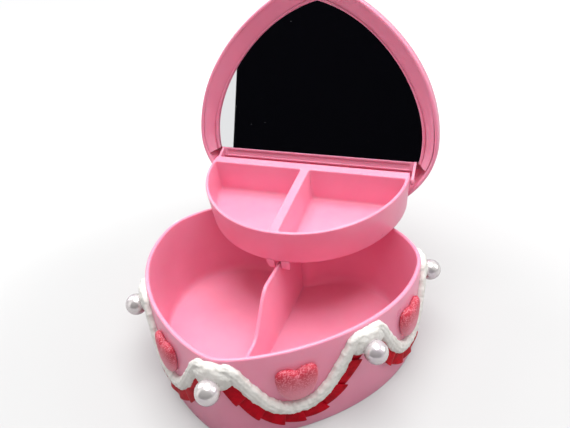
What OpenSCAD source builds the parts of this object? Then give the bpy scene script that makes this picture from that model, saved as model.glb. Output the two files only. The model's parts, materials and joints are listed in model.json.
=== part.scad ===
// Heart-shaped trinket box: a tub with a stepped divider, a mirrored lid on two
// lugs, and a two-compartment tray that swings on the lid and nests on the divider.
// Millimetres, +Z up. The origin is the middle of the tub's underside, with the
// heart's tip towards -Y and its two lobes towards +Y. Drawn with the lid open.

/* [Heart outline] */
// Width across the two lobes
heart_w = 150; // [118:1:185]
// Length from the tip to the backs of the lobes
heart_l = 135; // [108:1:165]
// Distance from the middle to the back of each lobe
lobe_x = 30; // [26:0.5:38]
// Distance of the widest place in front of the lobes' backs
wide_y = 45; // [38:0.5:55]
// Depth of the notch between the lobes
notch_d = 17; // [12:0.5:21]

/* [Tub] */
// Height of the tub
tub_h = 49.2; // [41:0.2:60]
// Wall of the tub and of the lid
wall = 2.2; // [1.8:0.1:2.6]
// Floor of the tub
floor_t = 2.6; // [2:0.1:3.5]

/* [Divider] */
// Thickness of the divider
divider_t = 2.2; // [1.8:0.1:2.4]
// Depth of its high rear part below the tub's rim
divider_drop = 6.8; // [6.5:0.1:9]
// Height of its low front part above the tub's underside
divider_low = 21.2; // [15:0.2:24]
// Distance behind the front wall at which the low part ends
divider_low_l = 39; // [34:0.5:43]
// Length of the S-shaped step between the two heights
divider_step_l = 24; // [18:0.5:28]

/* [Lid] */
// Height of the closed lid
lid_h = 15.6; // [14:0.2:20]
// Top plate of the lid
lid_top_t = 2; // [1.6:0.1:2.4]
// Gap between the closed lid's rim and the tub's rim
rim_gap = 0.3; // [0.2:0.05:0.5]
// Angle that the lid opens to
open_angle = 100.6; // [95:0.1:105]

/* [Lid hinges] */
// Depth of the hinge axis below the tub's rim
hinge_drop = 3.3; // [3.1:0.1:4]
// Radius of the hinge knuckles
knuckle_r = 2.6; // [2.2:0.1:2.9]
// Radius of the hinge pins
hinge_pin_r = 1; // [0.8:0.05:1.3]
// Length of the lid's knuckle
lid_knuckle_l = 5; // [4:0.5:7]
// Length of each of the tub's knuckles
tub_knuckle_l = 4; // [3:0.5:5]

/* [Mirror] */
// Depth of the mirror's face behind the lid's rim
mirror_depth = 8; // [7.4:0.1:9]
// Thickness of the glass
glass_t = 2; // [1.5:0.1:2.5]
// Margin from the heart's outline to the visible mirror
mirror_margin = 9.8; // [8.6:0.1:12]
// Distance of the mirror's straight edge in front of the lobes' backs
mirror_edge_y = 34.5; // [33:0.5:38]
// Height of the bar along the mirror's straight edge
bar_w = 5.4; // [4:0.2:6]

/* [Tray] */
// Width of the tray at its straight back
tray_w = 122.6; // [96:0.2:124]
// Depth of the tray from front to back
tray_d = 65.6; // [52:0.2:70]
// Height of the tray
tray_h = 22.4; // [18:0.2:22.6]
// Curved wall and floor of the tray
tray_wall = 2; // [1.6:0.1:2.4]
// Width of the flange along the tray's back
flange_w = 6.8; // [5:0.2:8]
// Width of the hollow rib between the compartments
rib_w = 5.6; // [5.2:0.1:7]
// Width and height of each tab of the fork under the front
tab_w = 5; // [4:0.5:6]
// Height of the fork's tabs
tab_h = 4; // [3:0.5:5]
// Tilt of the tray, front down, when the lid is open
tray_tilt = 9.4; // [8:0.1:11]

/* [Tray pivots] */
// Distance of the pivot in front of the lid's hinge axis, lid closed
pivot_front = 25.3; // [24.8:0.1:26]
// Height of the pivot above the lid's hinge axis, lid closed
pivot_up = 3.2; // [3:0.1:3.4]
// Depth of the pivot below the tray's top
pivot_down = 6.9; // [6.8:0.1:7.4]
// Distance of the pivot behind the tray's back
pivot_back = 1.4; // [1.2:0.1:1.6]
// Radius of the tray's stub axles
stub_r = 1.3; // [1.1:0.05:1.5]
// Thickness of the ears that carry them
ear_t = 1.8; // [1.5:0.1:2]
// Side gap between an ear and the tray
ear_gap = 0.3; // [0.2:0.05:0.4]

/* [Decoration] */
// Ends of the swags, as shares of the way from the tip to the notch
swag_stops = [0, 0.31, 0.6, 0.87];
// Height of the piping at the swags' ends
swag_top = 44.5; // [36:0.5:45]
// Height of the piping at the swags' lowest places
swag_low = 16.5; // [14:0.5:22]
// Width of the piping
piping_w = 6.4; // [5:0.2:8]
// Thickness of the piping
piping_t = 4; // [3:0.2:5]
// Height of the ruffle below the piping
ruffle_h = 5.4; // [4:0.2:7]
// Thickness of the ruffle
ruffle_t = 2.4; // [1.5:0.1:3]
// Radius of the pearls
pearl_r = 5.6; // [4:0.1:6]
// Height of the pearls' centres
pearl_z = 35; // [28:0.5:37]
// Distance of the pearls' centres from the wall
pearl_out = 7.8; // [6:0.1:9]
// Width of the sugar hearts
candy_w = 19.4; // [14:0.2:21]
// Thickness of the sugar hearts
candy_t = 3.4; // [2:0.1:4]
// Height of the sugar hearts' centres
candy_z = 32; // [29:0.5:34]

/* [Hidden] */
SPOTS = ["front", "side", "back"];
SIDES = ["left", "right"];
$fn = 48;

PINK = [0.97, 0.56, 0.70];
eps = 0.01;
press = 0.3;              // how far a bonded piece is let into the one that holds it
pin_clearance = 0.03;     // radial, pin in the knuckles that hold it
turn_clearance = 0.06;    // radial, in the bores that turn
knuckle_gap = 0.3;        // between neighbouring knuckles
fit_gap = 0.25;           // round the parts set into the lid
rib_gap = 0.5;            // each side of the divider in the tray's rib
fork_gap = 0.8;           // each side of the divider in the tray's fork

back_y = heart_l / 2;
rim_z = tub_h + rim_gap;                     // plane of the closed lid's rim
hinge_z = tub_h - hinge_drop;
divider_high = tub_h - divider_drop;
lid_inside = lid_h - lid_top_t;
frame_end_y = back_y - mirror_edge_y + bar_w - 1; // where the mirror's frame stops
bar_y = back_y - mirror_edge_y + 0.1;
bar_proud = 0.8;
pivot_wall = 1.1;                            // plastic round the stub axles and their bores
pivot_r = stub_r + pivot_wall;

// ---------- curves ----------
function bez(p, t) = pow(1 - t, 3) * p[0] + 3 * pow(1 - t, 2) * t * p[1] + 3 * (1 - t) * t * t * p[2]
    + pow(t, 3) * p[3];
function curve(p, n) = [for (i = [0:n - 1]) bez(p, i / n)];
function flip(p) = [-p.x, p.y];
function unit(v) = v / norm(v);
function left_of(v) = [-v.y, v.x];
function sum_to(v, n) = n < 0 ? 0 : v[n] + sum_to(v, n - 1);

// Right half of the heart, from the tip over the side and the lobe to the notch
tip_to_side = [[0, -back_y], [0.097 * heart_w, -back_y], [heart_w / 2, -back_y + 0.243 * heart_l],
    [heart_w / 2, back_y - wide_y]];
side_to_lobe = [[heart_w / 2, back_y - wide_y], [heart_w / 2, back_y - 0.41 * wide_y],
    [1.44 * lobe_x, back_y], [lobe_x, back_y]];
lobe_to_notch = [[lobe_x, back_y], [0.4 * lobe_x, back_y], [0.27 * lobe_x, back_y - notch_d],
    [0, back_y - notch_d]];
half_heart = concat(curve(tip_to_side, 18), curve(side_to_lobe, 12), curve(lobe_to_notch, 8),
    [[0, back_y - notch_d]]);
heart = concat(half_heart, [for (i = [len(half_heart) - 2:-1:1]) flip(half_heart[i])]);

// Outline moved inwards by d, with every side kept parallel
function inset(pts, d) = let (n = len(pts)) [for (i = [0:n - 1])
    let (u = unit(pts[i] - pts[(i + n - 1) % n]), v = unit(pts[(i + 1) % n] - pts[i]),
        m = unit(left_of(u + v)))
    pts[i] + m * d / (m * left_of(u))];

// Place on the right half of the outline, a share of the way from tip to notch:
// [point, direction of travel]
steps = [for (i = [0:len(half_heart) - 2]) norm(half_heart[i + 1] - half_heart[i])];
half_len = sum_to(steps, len(steps) - 1);
function place(share, i = 0, gone = 0) =
    (i == len(steps) - 1 || gone + steps[i] >= share * half_len)
    ? let (dir = unit(half_heart[i + 1] - half_heart[i]))
        [half_heart[i] + dir * (share * half_len - gone), dir]
    : place(share, i + 1, gone + steps[i]);

// Half outline of the tray, straight back at y = 0, rounded front at y = -tray_d
tray_half = concat(curve([[0, -tray_d], [0.34 * tray_w, -tray_d], [0.527 * tray_w, -0.416 * tray_d],
    [tray_w / 2, 0]], 24), [[tray_w / 2, 0]]);
tray_outline = concat(tray_half, [for (i = [len(tray_half) - 1:-1:1]) flip(tray_half[i])]);

// Top of the divider at y: high behind, low in front, a smooth step between
low_end_y = -back_y + divider_low_l;
function divider_top(y) = let (t = max(0, min(1, (y - low_end_y) / divider_step_l)))
    divider_low + (divider_high - divider_low) * (1 - cos(180 * t)) / 2;

// ---------- helpers ----------
module slab(pts, z0, z1) translate([0, 0, z0]) linear_extrude(z1 - z0) polygon(pts);
module inner_slab(d, z0, z1) translate([0, 0, z0]) linear_extrude(z1 - z0)
    offset(delta = -d) polygon(heart);
module block(lo, hi) translate(lo) cube(hi - lo);
module rod(r, x0, x1) translate([x0, 0, 0]) rotate([0, 90, 0]) cylinder(r = r, h = x1 - x0);
module both_sides() { children(); mirror([1, 0, 0]) children(); }
module at_hinge() translate([0, back_y, hinge_z]) children();
module lid_open() at_hinge() rotate([-open_angle, 0, 0]) translate([0, -back_y, -hinge_z]) children();
module on_side(side) if (side == "left") mirror([1, 0, 0]) children(); else children();

// Solid swept through rings of points, each ring anticlockwise along the way
module sweep(rings) {
    n = len(rings[0]);
    m = len(rings);
    polyhedron(
        points = [for (ring = rings) each ring],
        faces = concat(
            [[for (k = [0:n - 1]) k]],
            [for (i = [0:m - 2], k = [0:n - 1], half = [0, 1]) let (a = i * n + k, b = i * n + (k + 1) % n)
                half == 0 ? [a, a + n, b] : [b, a + n, b + n]],
            [[for (k = [n - 1:-1:0]) (m - 1) * n + k]]),
        convexity = 4);
}

// ---------- tub ----------
module tub_knuckles(r) for (end = [-1, 1]) translate([lobe_x, 0, 0])
    rod(r, end * (lid_knuckle_l / 2 + knuckle_gap + tub_knuckle_l / 2) - tub_knuckle_l / 2,
        end * (lid_knuckle_l / 2 + knuckle_gap + tub_knuckle_l / 2) + tub_knuckle_l / 2);

module tub() color(PINK) difference() {
    union() {
        difference() {
            slab(heart, 0, tub_h);
            slab(inset(heart, wall), floor_t, tub_h + 1);
        }
        both_sides() at_hinge() tub_knuckles(knuckle_r);
    }
    both_sides() at_hinge() translate([lobe_x, 0, 0]) {
        rod(knuckle_r + knuckle_gap, -lid_knuckle_l / 2 - knuckle_gap, lid_knuckle_l / 2 + knuckle_gap);
        block([-lid_knuckle_l / 2 - knuckle_gap, -wall - knuckle_gap, 0],
            [lid_knuckle_l / 2 + knuckle_gap, knuckle_r + 1, hinge_drop + 1]);
        rod(hinge_pin_r + pin_clearance, -hinge_half_l - 1, hinge_half_l + 1);
    }
}

divider_back_y = back_y - notch_d - wall + press;
divider_front_y = -back_y + wall - press;
module divider() color(PINK) translate([-divider_t / 2, 0, 0]) rotate([90, 0, 90])
    linear_extrude(divider_t) polygon(concat(
        [[divider_front_y, floor_t - press], [divider_back_y, floor_t - press],
            [divider_back_y, divider_high]],
        [for (i = [16:-1:0]) let (y = low_end_y + divider_step_l * i / 16) [y, divider_top(y)]],
        [[divider_front_y, divider_low]]));

hinge_half_l = lid_knuckle_l / 2 + knuckle_gap + tub_knuckle_l;
module hinge_pin(side) color("silver") on_side(side) at_hinge() translate([lobe_x, 0, 0])
    rod(hinge_pin_r, -hinge_half_l, hinge_half_l);

// ---------- lid, drawn closed and swung open ----------
module lid_shell() color(PINK) lid_open() difference() {
    union() {
        difference() {
            slab(heart, rim_z, rim_z + lid_h);
            slab(inset(heart, wall), rim_z - 1, rim_z + lid_inside);
        }
        both_sides() at_hinge() translate([lobe_x, 0, 0]) {
            rod(knuckle_r, -lid_knuckle_l / 2, lid_knuckle_l / 2);
            block([-lid_knuckle_l / 2, 0.2 - wall, 0], [lid_knuckle_l / 2, 0, hinge_drop + rim_gap + wall]);
        }
    }
    both_sides() at_hinge() translate([lobe_x, 0, 0])
        rod(hinge_pin_r + turn_clearance, -lid_knuckle_l, lid_knuckle_l);
}

// Ring that frames the mirror: it slopes in from the lid's rim to the glass in
// steps, holds the glass behind its lip and leaves room for the tray's bracket
frame_steps = 5;
frame_rim = wall + fit_gap;
frame_edge_w = 1;
frame_low = 0.6;
frame_lip = 1;
glass_lap = 1.6;
bracket_room = 0.4;
module mirror_frame() color(PINK) lid_open() difference() {
    inner_slab(frame_rim, rim_z + frame_low, rim_z + lid_inside - fit_gap);
    for (i = [0:frame_steps - 1])
        inner_slab(frame_rim + frame_edge_w + (mirror_margin - frame_rim - frame_edge_w) * i / frame_steps,
            rim_z - 1, rim_z + frame_low + (mirror_depth - frame_lip - frame_low) * (i + 1) / frame_steps);
    inner_slab(mirror_margin, rim_z, rim_z + mirror_depth + 1);
    inner_slab(mirror_margin - glass_lap, rim_z + mirror_depth - eps, rim_z + lid_h);
    block([-heart_w, frame_end_y, 0], [heart_w, heart_l, 2 * tub_h]);
    block([-ear_out - bracket_room, bar_y - bracket_room, 0], [ear_out + bracket_room, heart_l, 2 * tub_h]);
}

glass_gap = 0.05;
glass_z = rim_z + mirror_depth + glass_gap;
glass_edge_gap = 0.3;
module mirror_glass() color([0.1, 0.1, 0.12]) lid_open()
    translate([0, 0, glass_z]) linear_extrude(glass_t) difference() {
        offset(delta = glass_lap - glass_edge_gap - mirror_margin) polygon(heart);
        translate([-heart_w, bar_y - glass_edge_gap / 2]) square(2 * heart_w);
    }

// Foam pads that bond the glass to the lid's top plate
pad_w = 22;
pad_tip_y = 35;
pad_bar_y = 40;
module mirror_pads() color([0.85, 0.85, 0.85]) lid_open() for (x = [-1, 0, 1])
    translate([x * heart_w / 5 - pad_w / 2, x == 0 ? pad_tip_y - back_y : bar_y - pad_bar_y,
        glass_z + glass_t]) cube([pad_w, pad_w, rim_z + lid_inside - glass_z - glass_t]);

// Bar along the mirror's straight edge with the two ears that carry the tray
ear_in = tray_w / 2 + ear_gap;
ear_out = ear_in + ear_t;
module at_pivot() translate([0, back_y - pivot_front, hinge_z + pivot_up]) children();
arm_dy = bar_y + bar_w / 2 - (back_y - pivot_front);
arm_dz = rim_z + mirror_depth - (hinge_z + pivot_up);
module tray_bracket() color(PINK) lid_open() difference() {
    union() {
        block([-ear_out, bar_y, rim_z + mirror_depth - bar_proud],
            [ear_out, bar_y + bar_w, rim_z + lid_inside]);
        both_sides() at_pivot() {
            rod(pivot_r, ear_in, ear_out);
            rotate([atan2(arm_dz, arm_dy), 0, 0])
                block([ear_in, 0, -pivot_r], [ear_out, norm([arm_dy, arm_dz]), pivot_r]);
        }
    }
    both_sides() at_pivot() rod(stub_r + turn_clearance, ear_in - 1, ear_out + 1);
}

// ---------- tray, drawn level about its pivot ----------
pivot_closed = [0, -pivot_front, pivot_up];
pivot_open = [0, pivot_closed.y * cos(open_angle) + pivot_closed.z * sin(open_angle),
    -pivot_closed.y * sin(open_angle) + pivot_closed.z * cos(open_angle)];
lug_t = 2.2;
lug_front_l = 3;
stub_end = 0.4;
flange_end = 8;
corner_w = 13.5;
corner_h = 13;
tray_slot = divider_t / 2 + rib_gap;
tray_fork = divider_t / 2 + fork_gap;

// Room of one compartment, beside the rib and in front of the flange
module tray_room() intersection() {
    slab(inset(tray_outline, tray_wall), tray_wall, tray_h + 1);
    block([rib_w / 2, -tray_d, 0], [tray_w, -flange_w, tray_h + 1]);
}

// Slanted cut that keeps the tray's rear lower corner clear of the lid's lobe
module rear_corner() translate([0, 1, 0]) rotate([90, 0, 0]) linear_extrude(1 + flange_w - tray_wall)
    polygon([[tray_w / 2 - corner_w, 0], [tray_w / 2 - corner_w, -1], [tray_w / 2 + 1, -1],
        [tray_w / 2 + 1, corner_h], [tray_w / 2, corner_h]]);

module tray() color(PINK) at_hinge() translate(pivot_open) rotate([tray_tilt, 0, 0]) {
    translate([0, -pivot_back, pivot_down - tray_h]) {
        difference() {
            slab(tray_outline, 0, tray_h);
            both_sides() {
                tray_room();
                rear_corner();
            }
            // hollow of the rib, open below and behind, that nests on the divider
            block([-tray_slot, -tray_d + tray_wall, -1], [tray_slot, 1, tray_h - tray_wall]);
            // hollow under the back flange
            block([flange_end - tray_w / 2, tray_wall - flange_w, -1],
                [tray_w / 2 - flange_end, 1, tray_h - tray_wall]);
        }
        // fork that straddles the divider
        intersection() {
            slab(tray_outline, -tab_h, 1);
            both_sides()
                block([tray_fork, -tray_d - 1, -tab_h], [tray_fork + tab_w, -tray_d + tray_wall, 1]);
        }
    }
    both_sides() {
        rod(pivot_r, tray_w / 2 - lug_t, tray_w / 2);
        block([tray_w / 2 - lug_t, -pivot_back - lug_front_l, -pivot_r], [tray_w / 2, 0, pivot_r]);
        rod(stub_r, tray_w / 2 - lug_t, ear_out + stub_end);
    }
}

// ---------- decoration ----------
// Centre line of a swag at u = -1 to 1: [point, direction along the wall, slope]
function swag_share(i, u) = swag_stops[i] + (swag_stops[i + 1] - swag_stops[i]) * (u + 1) / 2;
function swag_half_l(i) = (swag_stops[i + 1] - swag_stops[i]) * half_len / 2;
function swag_z(u) = swag_low + (swag_top - swag_low) * u * u;

// Ring of a swept band: each profile point is [across, out]
function band_ring(i, u, profile) =
    let (spot = place(swag_share(i, u)), rise = (swag_top - swag_low) * 2 * u / swag_half_l(i),
        out = [spot[1].y, -spot[1].x], across = [-rise, 1] / norm([rise, 1]))
    [for (p = profile)
        [each (spot[0] + out * p[1] + spot[1] * across[0] * p[0]), swag_z(u) + across[1] * p[0]]];
module band(i, reach, count, profile)
    sweep([for (k = [0:count]) band_ring(i, reach * (2 * k / count - 1), profile)]);

stand_off = 0.15;
piping_reach = 0.925;
ruffle_reach = 0.76;
ruffle_gap = 0.1;
piping_profile = [for (p = [[-1, 0], [-0.8, 0.6], [0, 1], [0.8, 0.6], [1, 0]])
    [p[0] * piping_w / 2, stand_off + p[1] * piping_t]];
ruffle_profile = [for (p = [[-1, 0], [-1, 1], [0, 1], [0, 0]])
    [p[0] * ruffle_h - piping_w / 2 - ruffle_gap, stand_off + p[1] * ruffle_t]];
module piping(i) color([0.93, 0.92, 0.90]) band(i, piping_reach, 22, piping_profile);
module ruffle(i) color([0.65, 0.02, 0.10]) band(i, ruffle_reach, 16, ruffle_profile);

module pearl(stop) color([0.93, 0.93, 0.93])
    let (spot = place(swag_stops[stop]), dir = stop == 0 ? [1, 0] : spot[1])
    translate([each (spot[0] + [dir.y, -dir.x] * pearl_out), pearl_z]) sphere(pearl_r);

module sugar_heart(i) color([0.85, 0.25, 0.32])
    let (spot = place(swag_share(i, 0)), r = candy_w / 4, out = [spot[1].y, -spot[1].x])
    translate([each (spot[0] + out * stand_off), candy_z]) rotate([90, 0, atan2(spot[1].y, spot[1].x)])
        linear_extrude(candy_t) union() {
            for (x = [-r, r]) translate([x * 0.94, r * 0.7]) circle(r * 1.06);
            polygon([[-1.9 * r, 0.3 * r], [0, -1.9 * r], [1.9 * r, 0.3 * r], [0, 1.2 * r]]);
        }

tub();
divider();
hinge_pin("left");  // hinge_pin_left
hinge_pin("right");  // hinge_pin_right
lid_shell();
mirror_frame();
mirror_glass();
mirror_pads();
tray_bracket();
tray();
pearl(0);  // pearl_tip
for (i = [0:2], side = SIDES) {
    on_side(side) piping(i);
    on_side(side) ruffle(i);
    on_side(side) sugar_heart(i);
    on_side(side) pearl(i + 1);
}
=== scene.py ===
"""Looks of the heart-shaped trinket box: moulded pink shells, mirror, tray and cake-style trim.

Sizes are millimetres in the box's own frame, and MM turns them into metres. The lid's pieces are
drawn closed and swung open about the hinge; the tray's are drawn level and tipped about its pivot.
"""

import json
import logging
import math
from dataclasses import dataclass, field
from enum import Enum

import bmesh
import bpy
from mathutils import Matrix, Vector


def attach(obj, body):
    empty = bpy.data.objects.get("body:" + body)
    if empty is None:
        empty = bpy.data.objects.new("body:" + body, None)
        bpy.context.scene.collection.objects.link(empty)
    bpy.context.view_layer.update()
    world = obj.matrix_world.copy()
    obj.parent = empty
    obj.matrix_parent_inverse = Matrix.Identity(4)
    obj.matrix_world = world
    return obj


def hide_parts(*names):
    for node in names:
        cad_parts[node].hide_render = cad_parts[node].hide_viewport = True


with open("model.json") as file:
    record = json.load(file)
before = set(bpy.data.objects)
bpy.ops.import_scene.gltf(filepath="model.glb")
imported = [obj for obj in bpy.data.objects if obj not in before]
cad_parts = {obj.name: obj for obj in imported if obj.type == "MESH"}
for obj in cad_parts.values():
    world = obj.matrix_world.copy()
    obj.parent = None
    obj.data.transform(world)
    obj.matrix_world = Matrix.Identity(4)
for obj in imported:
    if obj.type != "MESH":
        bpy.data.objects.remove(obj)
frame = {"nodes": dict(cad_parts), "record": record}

MM = 0.001
LOG = logging.getLogger("trinket_box")

Flat = tuple[float, float]
Spot = tuple[float, float, float]
Ring = list[Spot]
Tint = tuple[float, float, float, float]
Piece = bpy.types.Object


class Choice(Enum):
    """A choice that is part of a node's name."""

    @property
    def word(self) -> str:
        """The choice as the nodes spell it."""
        return self.name.lower()


class Side(Choice):
    """The two mirrored halves of the box."""

    LEFT = -1
    RIGHT = 1


class Swag(Choice):
    """The three swags of trim on each half, counted from the tip."""

    FRONT = 0
    SIDE = 1
    BACK = 2


class Join(Enum):
    """What a tool solid does to the piece it meets."""

    CUT = "DIFFERENCE"
    WELD = "UNION"


# ---------- curves ----------


def bezier(points: list[Flat], t: float) -> Flat:
    """Gives a point of a cubic curve.

    Args:
        points: The curve's four control points.
        t: Share of the way along it.

    Returns:
        The point at t.
    """
    weights = ((1 - t) ** 3, 3 * (1 - t) ** 2 * t, 3 * (1 - t) * t * t, t**3)
    return tuple(sum(w * p[axis] for w, p in zip(weights, points)) for axis in (0, 1))


def curve(points: list[Flat], count: int) -> list[Flat]:
    """Gives count points of a cubic curve, its end left out."""
    return [bezier(points, i / count) for i in range(count)]


def mix(a: float, b: float, share: float) -> float:
    """Gives the value that lies a share of the way from a to b."""
    return a + (b - a) * share


def mix_points(a: list[Flat], b: list[Flat], share: float) -> list[Flat]:
    """Gives the outline that lies a share of the way from a to b, point by point."""
    return [(mix(p[0], q[0], share), mix(p[1], q[1], share)) for p, q in zip(a, b)]


def inset(points: list[Flat], depth: float) -> list[Flat]:
    """Moves an anticlockwise outline inwards with every side kept parallel.

    Args:
        points: The closed outline.
        depth: Distance to move it in; a negative one moves it out.

    Returns:
        The moved outline, point for point.
    """
    count = len(points)
    moved = []
    for i, here in enumerate(points):
        before = (Vector(here) - Vector(points[i - 1])).normalized()
        after = (Vector(points[(i + 1) % count]) - Vector(here)).normalized()
        normal = Vector((-before.y, before.x))
        middle = Vector((-before.y - after.y, before.x + after.x)).normalized()
        moved.append(tuple(Vector(here) + middle * depth / max(0.3, middle.dot(normal))))
    return moved


def rounded(points: list[Flat], radius: float, steps: int = 6) -> list[Flat]:
    """Rounds the sharp corners of a closed outline.

    Args:
        points: The closed outline.
        radius: Radius of the corners, less where a side is short.
        steps: Points that each corner becomes.

    Returns:
        The outline with its sharp corners rounded.
    """
    count = len(points)
    result = []
    for i, here in enumerate(points):
        corner = Vector(here)
        back = Vector(points[i - 1]) - corner
        ahead = Vector(points[(i + 1) % count]) - corner
        turn = math.pi - back.angle(ahead)
        if turn < math.radians(20):
            result.append(here)
            continue
        reach = min(radius * math.tan(turn / 2), 0.48 * back.length, 0.48 * ahead.length)
        start = corner + back.normalized() * reach
        end = corner + ahead.normalized() * reach
        for k in range(steps + 1):
            t = k / steps
            spot = start * (1 - t) ** 2 + corner * 2 * t * (1 - t) + end * t * t
            result.append(tuple(spot))
    return result


def at_height(points: list[Flat], z: float) -> Ring:
    """Lifts a flat outline to height z."""
    return [(x, y, z) for x, y in points]


@dataclass(frozen=True)
class HeartLine:
    """The heart that the tub and the lid share, tip towards -Y."""

    width: float = 150.0
    length: float = 135.0
    lobe_x: float = 30.0
    wide_y: float = 45.0
    notch_d: float = 17.0
    steps: tuple[int, int, int] = (46, 30, 18)

    @property
    def back_y(self) -> float:
        """Where the backs of the lobes are."""
        return self.length / 2

    def arcs(self) -> list[list[Flat]]:
        """Gives the right half's three cubics: tip to side, side to lobe, lobe to notch."""
        back, half = self.back_y, self.width / 2
        tip = [(0.0, -back), (0.097 * self.width, -back), (half, 0.243 * self.length - back)]
        side = [(half, back - self.wide_y), (half, back - 0.41 * self.wide_y)]
        lobe = [(1.44 * self.lobe_x, back), (self.lobe_x, back), (0.4 * self.lobe_x, back)]
        notch = [(0.27 * self.lobe_x, back - self.notch_d), (0.0, back - self.notch_d)]
        return [tip + side[:1], side + lobe[:2], lobe[1:] + notch]

    def half(self, arcs: list[list[Flat]] | None = None) -> list[Flat]:
        """Gives the right half, from the tip to the notch."""
        arcs = arcs or self.arcs()
        points = [p for arc, n in zip(arcs, self.steps) for p in curve(arc, n)]
        return points + [arcs[-1][3]]

    def whole(self, arcs: list[list[Flat]] | None = None) -> list[Flat]:
        """Gives the whole heart, anticlockwise from the tip."""
        half = self.half(arcs)
        return half + [(-x, y) for x, y in half[-2:0:-1]]

    def travel(self) -> list[float]:
        """Gives the distance from the tip at each point of the right half."""
        half, gone = self.half(), [0.0]
        for a, b in zip(half, half[1:]):
            gone.append(gone[-1] + math.dist(a, b))
        return gone

    def at(self, distance: float) -> tuple[Vector, Vector]:
        """Gives a place on the right half of the outline.

        Args:
            distance: Way along the outline from the tip; below 0 it is on the left half.

        Returns:
            The point, and the direction of travel there.
        """
        if distance < 0:
            point, heading = self.at(-distance)
            return Vector((-point.x, point.y)), Vector((heading.x, -heading.y))
        half, gone = self.half(), self.travel()
        i = next((k for k in range(len(gone) - 2) if gone[k + 1] >= distance), len(gone) - 2)
        share = (distance - gone[i]) / (gone[i + 1] - gone[i])
        point = Vector(half[i]).lerp(Vector(half[i + 1]), share)
        before = Vector(half[min(i + 1, len(half) - 1)]) - Vector(half[max(i - 1, 0)])
        after = Vector(half[min(i + 2, len(half) - 1)]) - Vector(half[i])
        heading = before.normalized().lerp(after.normalized(), share).normalized()
        return point, heading


# ---------- bench work ----------


def clear_selection() -> None:
    """Leaves nothing selected, so that the next operator acts on its own piece."""
    if bpy.context.object and bpy.context.object.mode != "OBJECT":
        bpy.ops.object.mode_set(mode="OBJECT")
    bpy.ops.object.select_all(action="DESELECT")


def pick(piece: Piece) -> None:
    """Selects one piece and makes it the active one."""
    clear_selection()
    piece.select_set(True)
    bpy.context.view_layer.objects.active = piece


def named(piece: Piece, name: str) -> Piece:
    """Names a piece and its mesh."""
    piece.name = name
    piece.data.name = name
    return piece


def settle(piece: Piece) -> Piece:
    """Moves a piece's place, turn and size into its mesh."""
    pick(piece)
    bpy.ops.object.transform_apply(location=True, rotation=True, scale=True)
    return piece


def outwards(piece: Piece) -> Piece:
    """Merges doubled points and turns every face outwards."""
    pick(piece)
    bpy.ops.object.mode_set(mode="EDIT")
    bpy.ops.mesh.select_all(action="SELECT")
    bpy.ops.mesh.remove_doubles(threshold=0.002 * MM)
    bpy.ops.mesh.normals_make_consistent(inside=False)
    bpy.ops.object.mode_set(mode="OBJECT")
    return piece


def smooth(piece: Piece, degrees: float = 32.0) -> Piece:
    """Shades a piece smooth wherever its faces turn less than the angle."""
    pick(piece)
    bpy.ops.object.shade_smooth_by_angle(angle=math.radians(degrees))
    return piece


def apply_modifier(piece: Piece, kind: str, **settings: object) -> Piece:
    """Adds a modifier to a piece and applies it.

    Args:
        piece: The piece to work on.
        kind: The modifier's type.
        settings: Its settings by name.

    Returns:
        The same piece.
    """
    pick(piece)
    modifier = piece.modifiers.new(kind.lower(), kind)
    for key, value in settings.items():
        setattr(modifier, key, value)
    bpy.ops.object.modifier_apply(modifier=modifier.name)
    return piece


def soften(piece: Piece, width: float, segments: int = 3, degrees: float = 32.0) -> Piece:
    """Rounds a piece's sharp edges by width millimetres."""
    apply_modifier(piece, "BEVEL", width=width * MM, segments=segments, limit_method="ANGLE",
                   angle_limit=math.radians(degrees), miter_outer="MITER_ARC")
    return piece


def combine(piece: Piece, tool: Piece, join: Join) -> Piece:
    """Cuts a tool solid out of a piece, or welds it on, and drops the tool."""
    apply_modifier(piece, "BOOLEAN", object=tool, operation=join.value, solver="EXACT")
    bpy.data.objects.remove(tool, do_unlink=True)
    return piece


def join_loose(piece: Piece, others: list[Piece]) -> Piece:
    """Joins pieces into one mesh of separate shells."""
    pick(piece)
    for other in others:
        other.select_set(True)
    bpy.ops.object.join()
    return piece


def twin(piece: Piece, name: str, flip: bool = False) -> Piece:
    """Copies a piece with a mesh of its own.

    Args:
        piece: The finished piece.
        name: The copy's name.
        flip: Whether the copy is mirrored to the left half.

    Returns:
        The copy.
    """
    copy = piece.copy()
    copy.data = piece.data.copy()
    bpy.context.scene.collection.objects.link(copy)
    if flip:
        copy.scale = (-1, 1, 1)
        settle(copy)
        outwards(copy)
    return named(copy, name)


def lay_ring(work: bmesh.types.BMesh, ring: Ring, number: int) -> None:
    """Moves the selected ring of points to its places, and numbers it."""
    station = work.verts.layers.int["station"]
    row = work.verts.layers.int["row"]
    for vert in work.verts:
        if vert.select:
            vert.co = Vector(ring[vert[station]]) * MM
            vert[row] = number


def fill_ring(work: bmesh.types.BMesh, number: int) -> None:
    """Closes the numbered ring of points with a face."""
    row = work.verts.layers.int["row"]
    bpy.ops.mesh.select_all(action="DESELECT")
    for vert in work.verts:
        vert.select = vert[row] == number
    work.select_flush(True)
    bpy.ops.mesh.edge_face_add()


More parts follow.
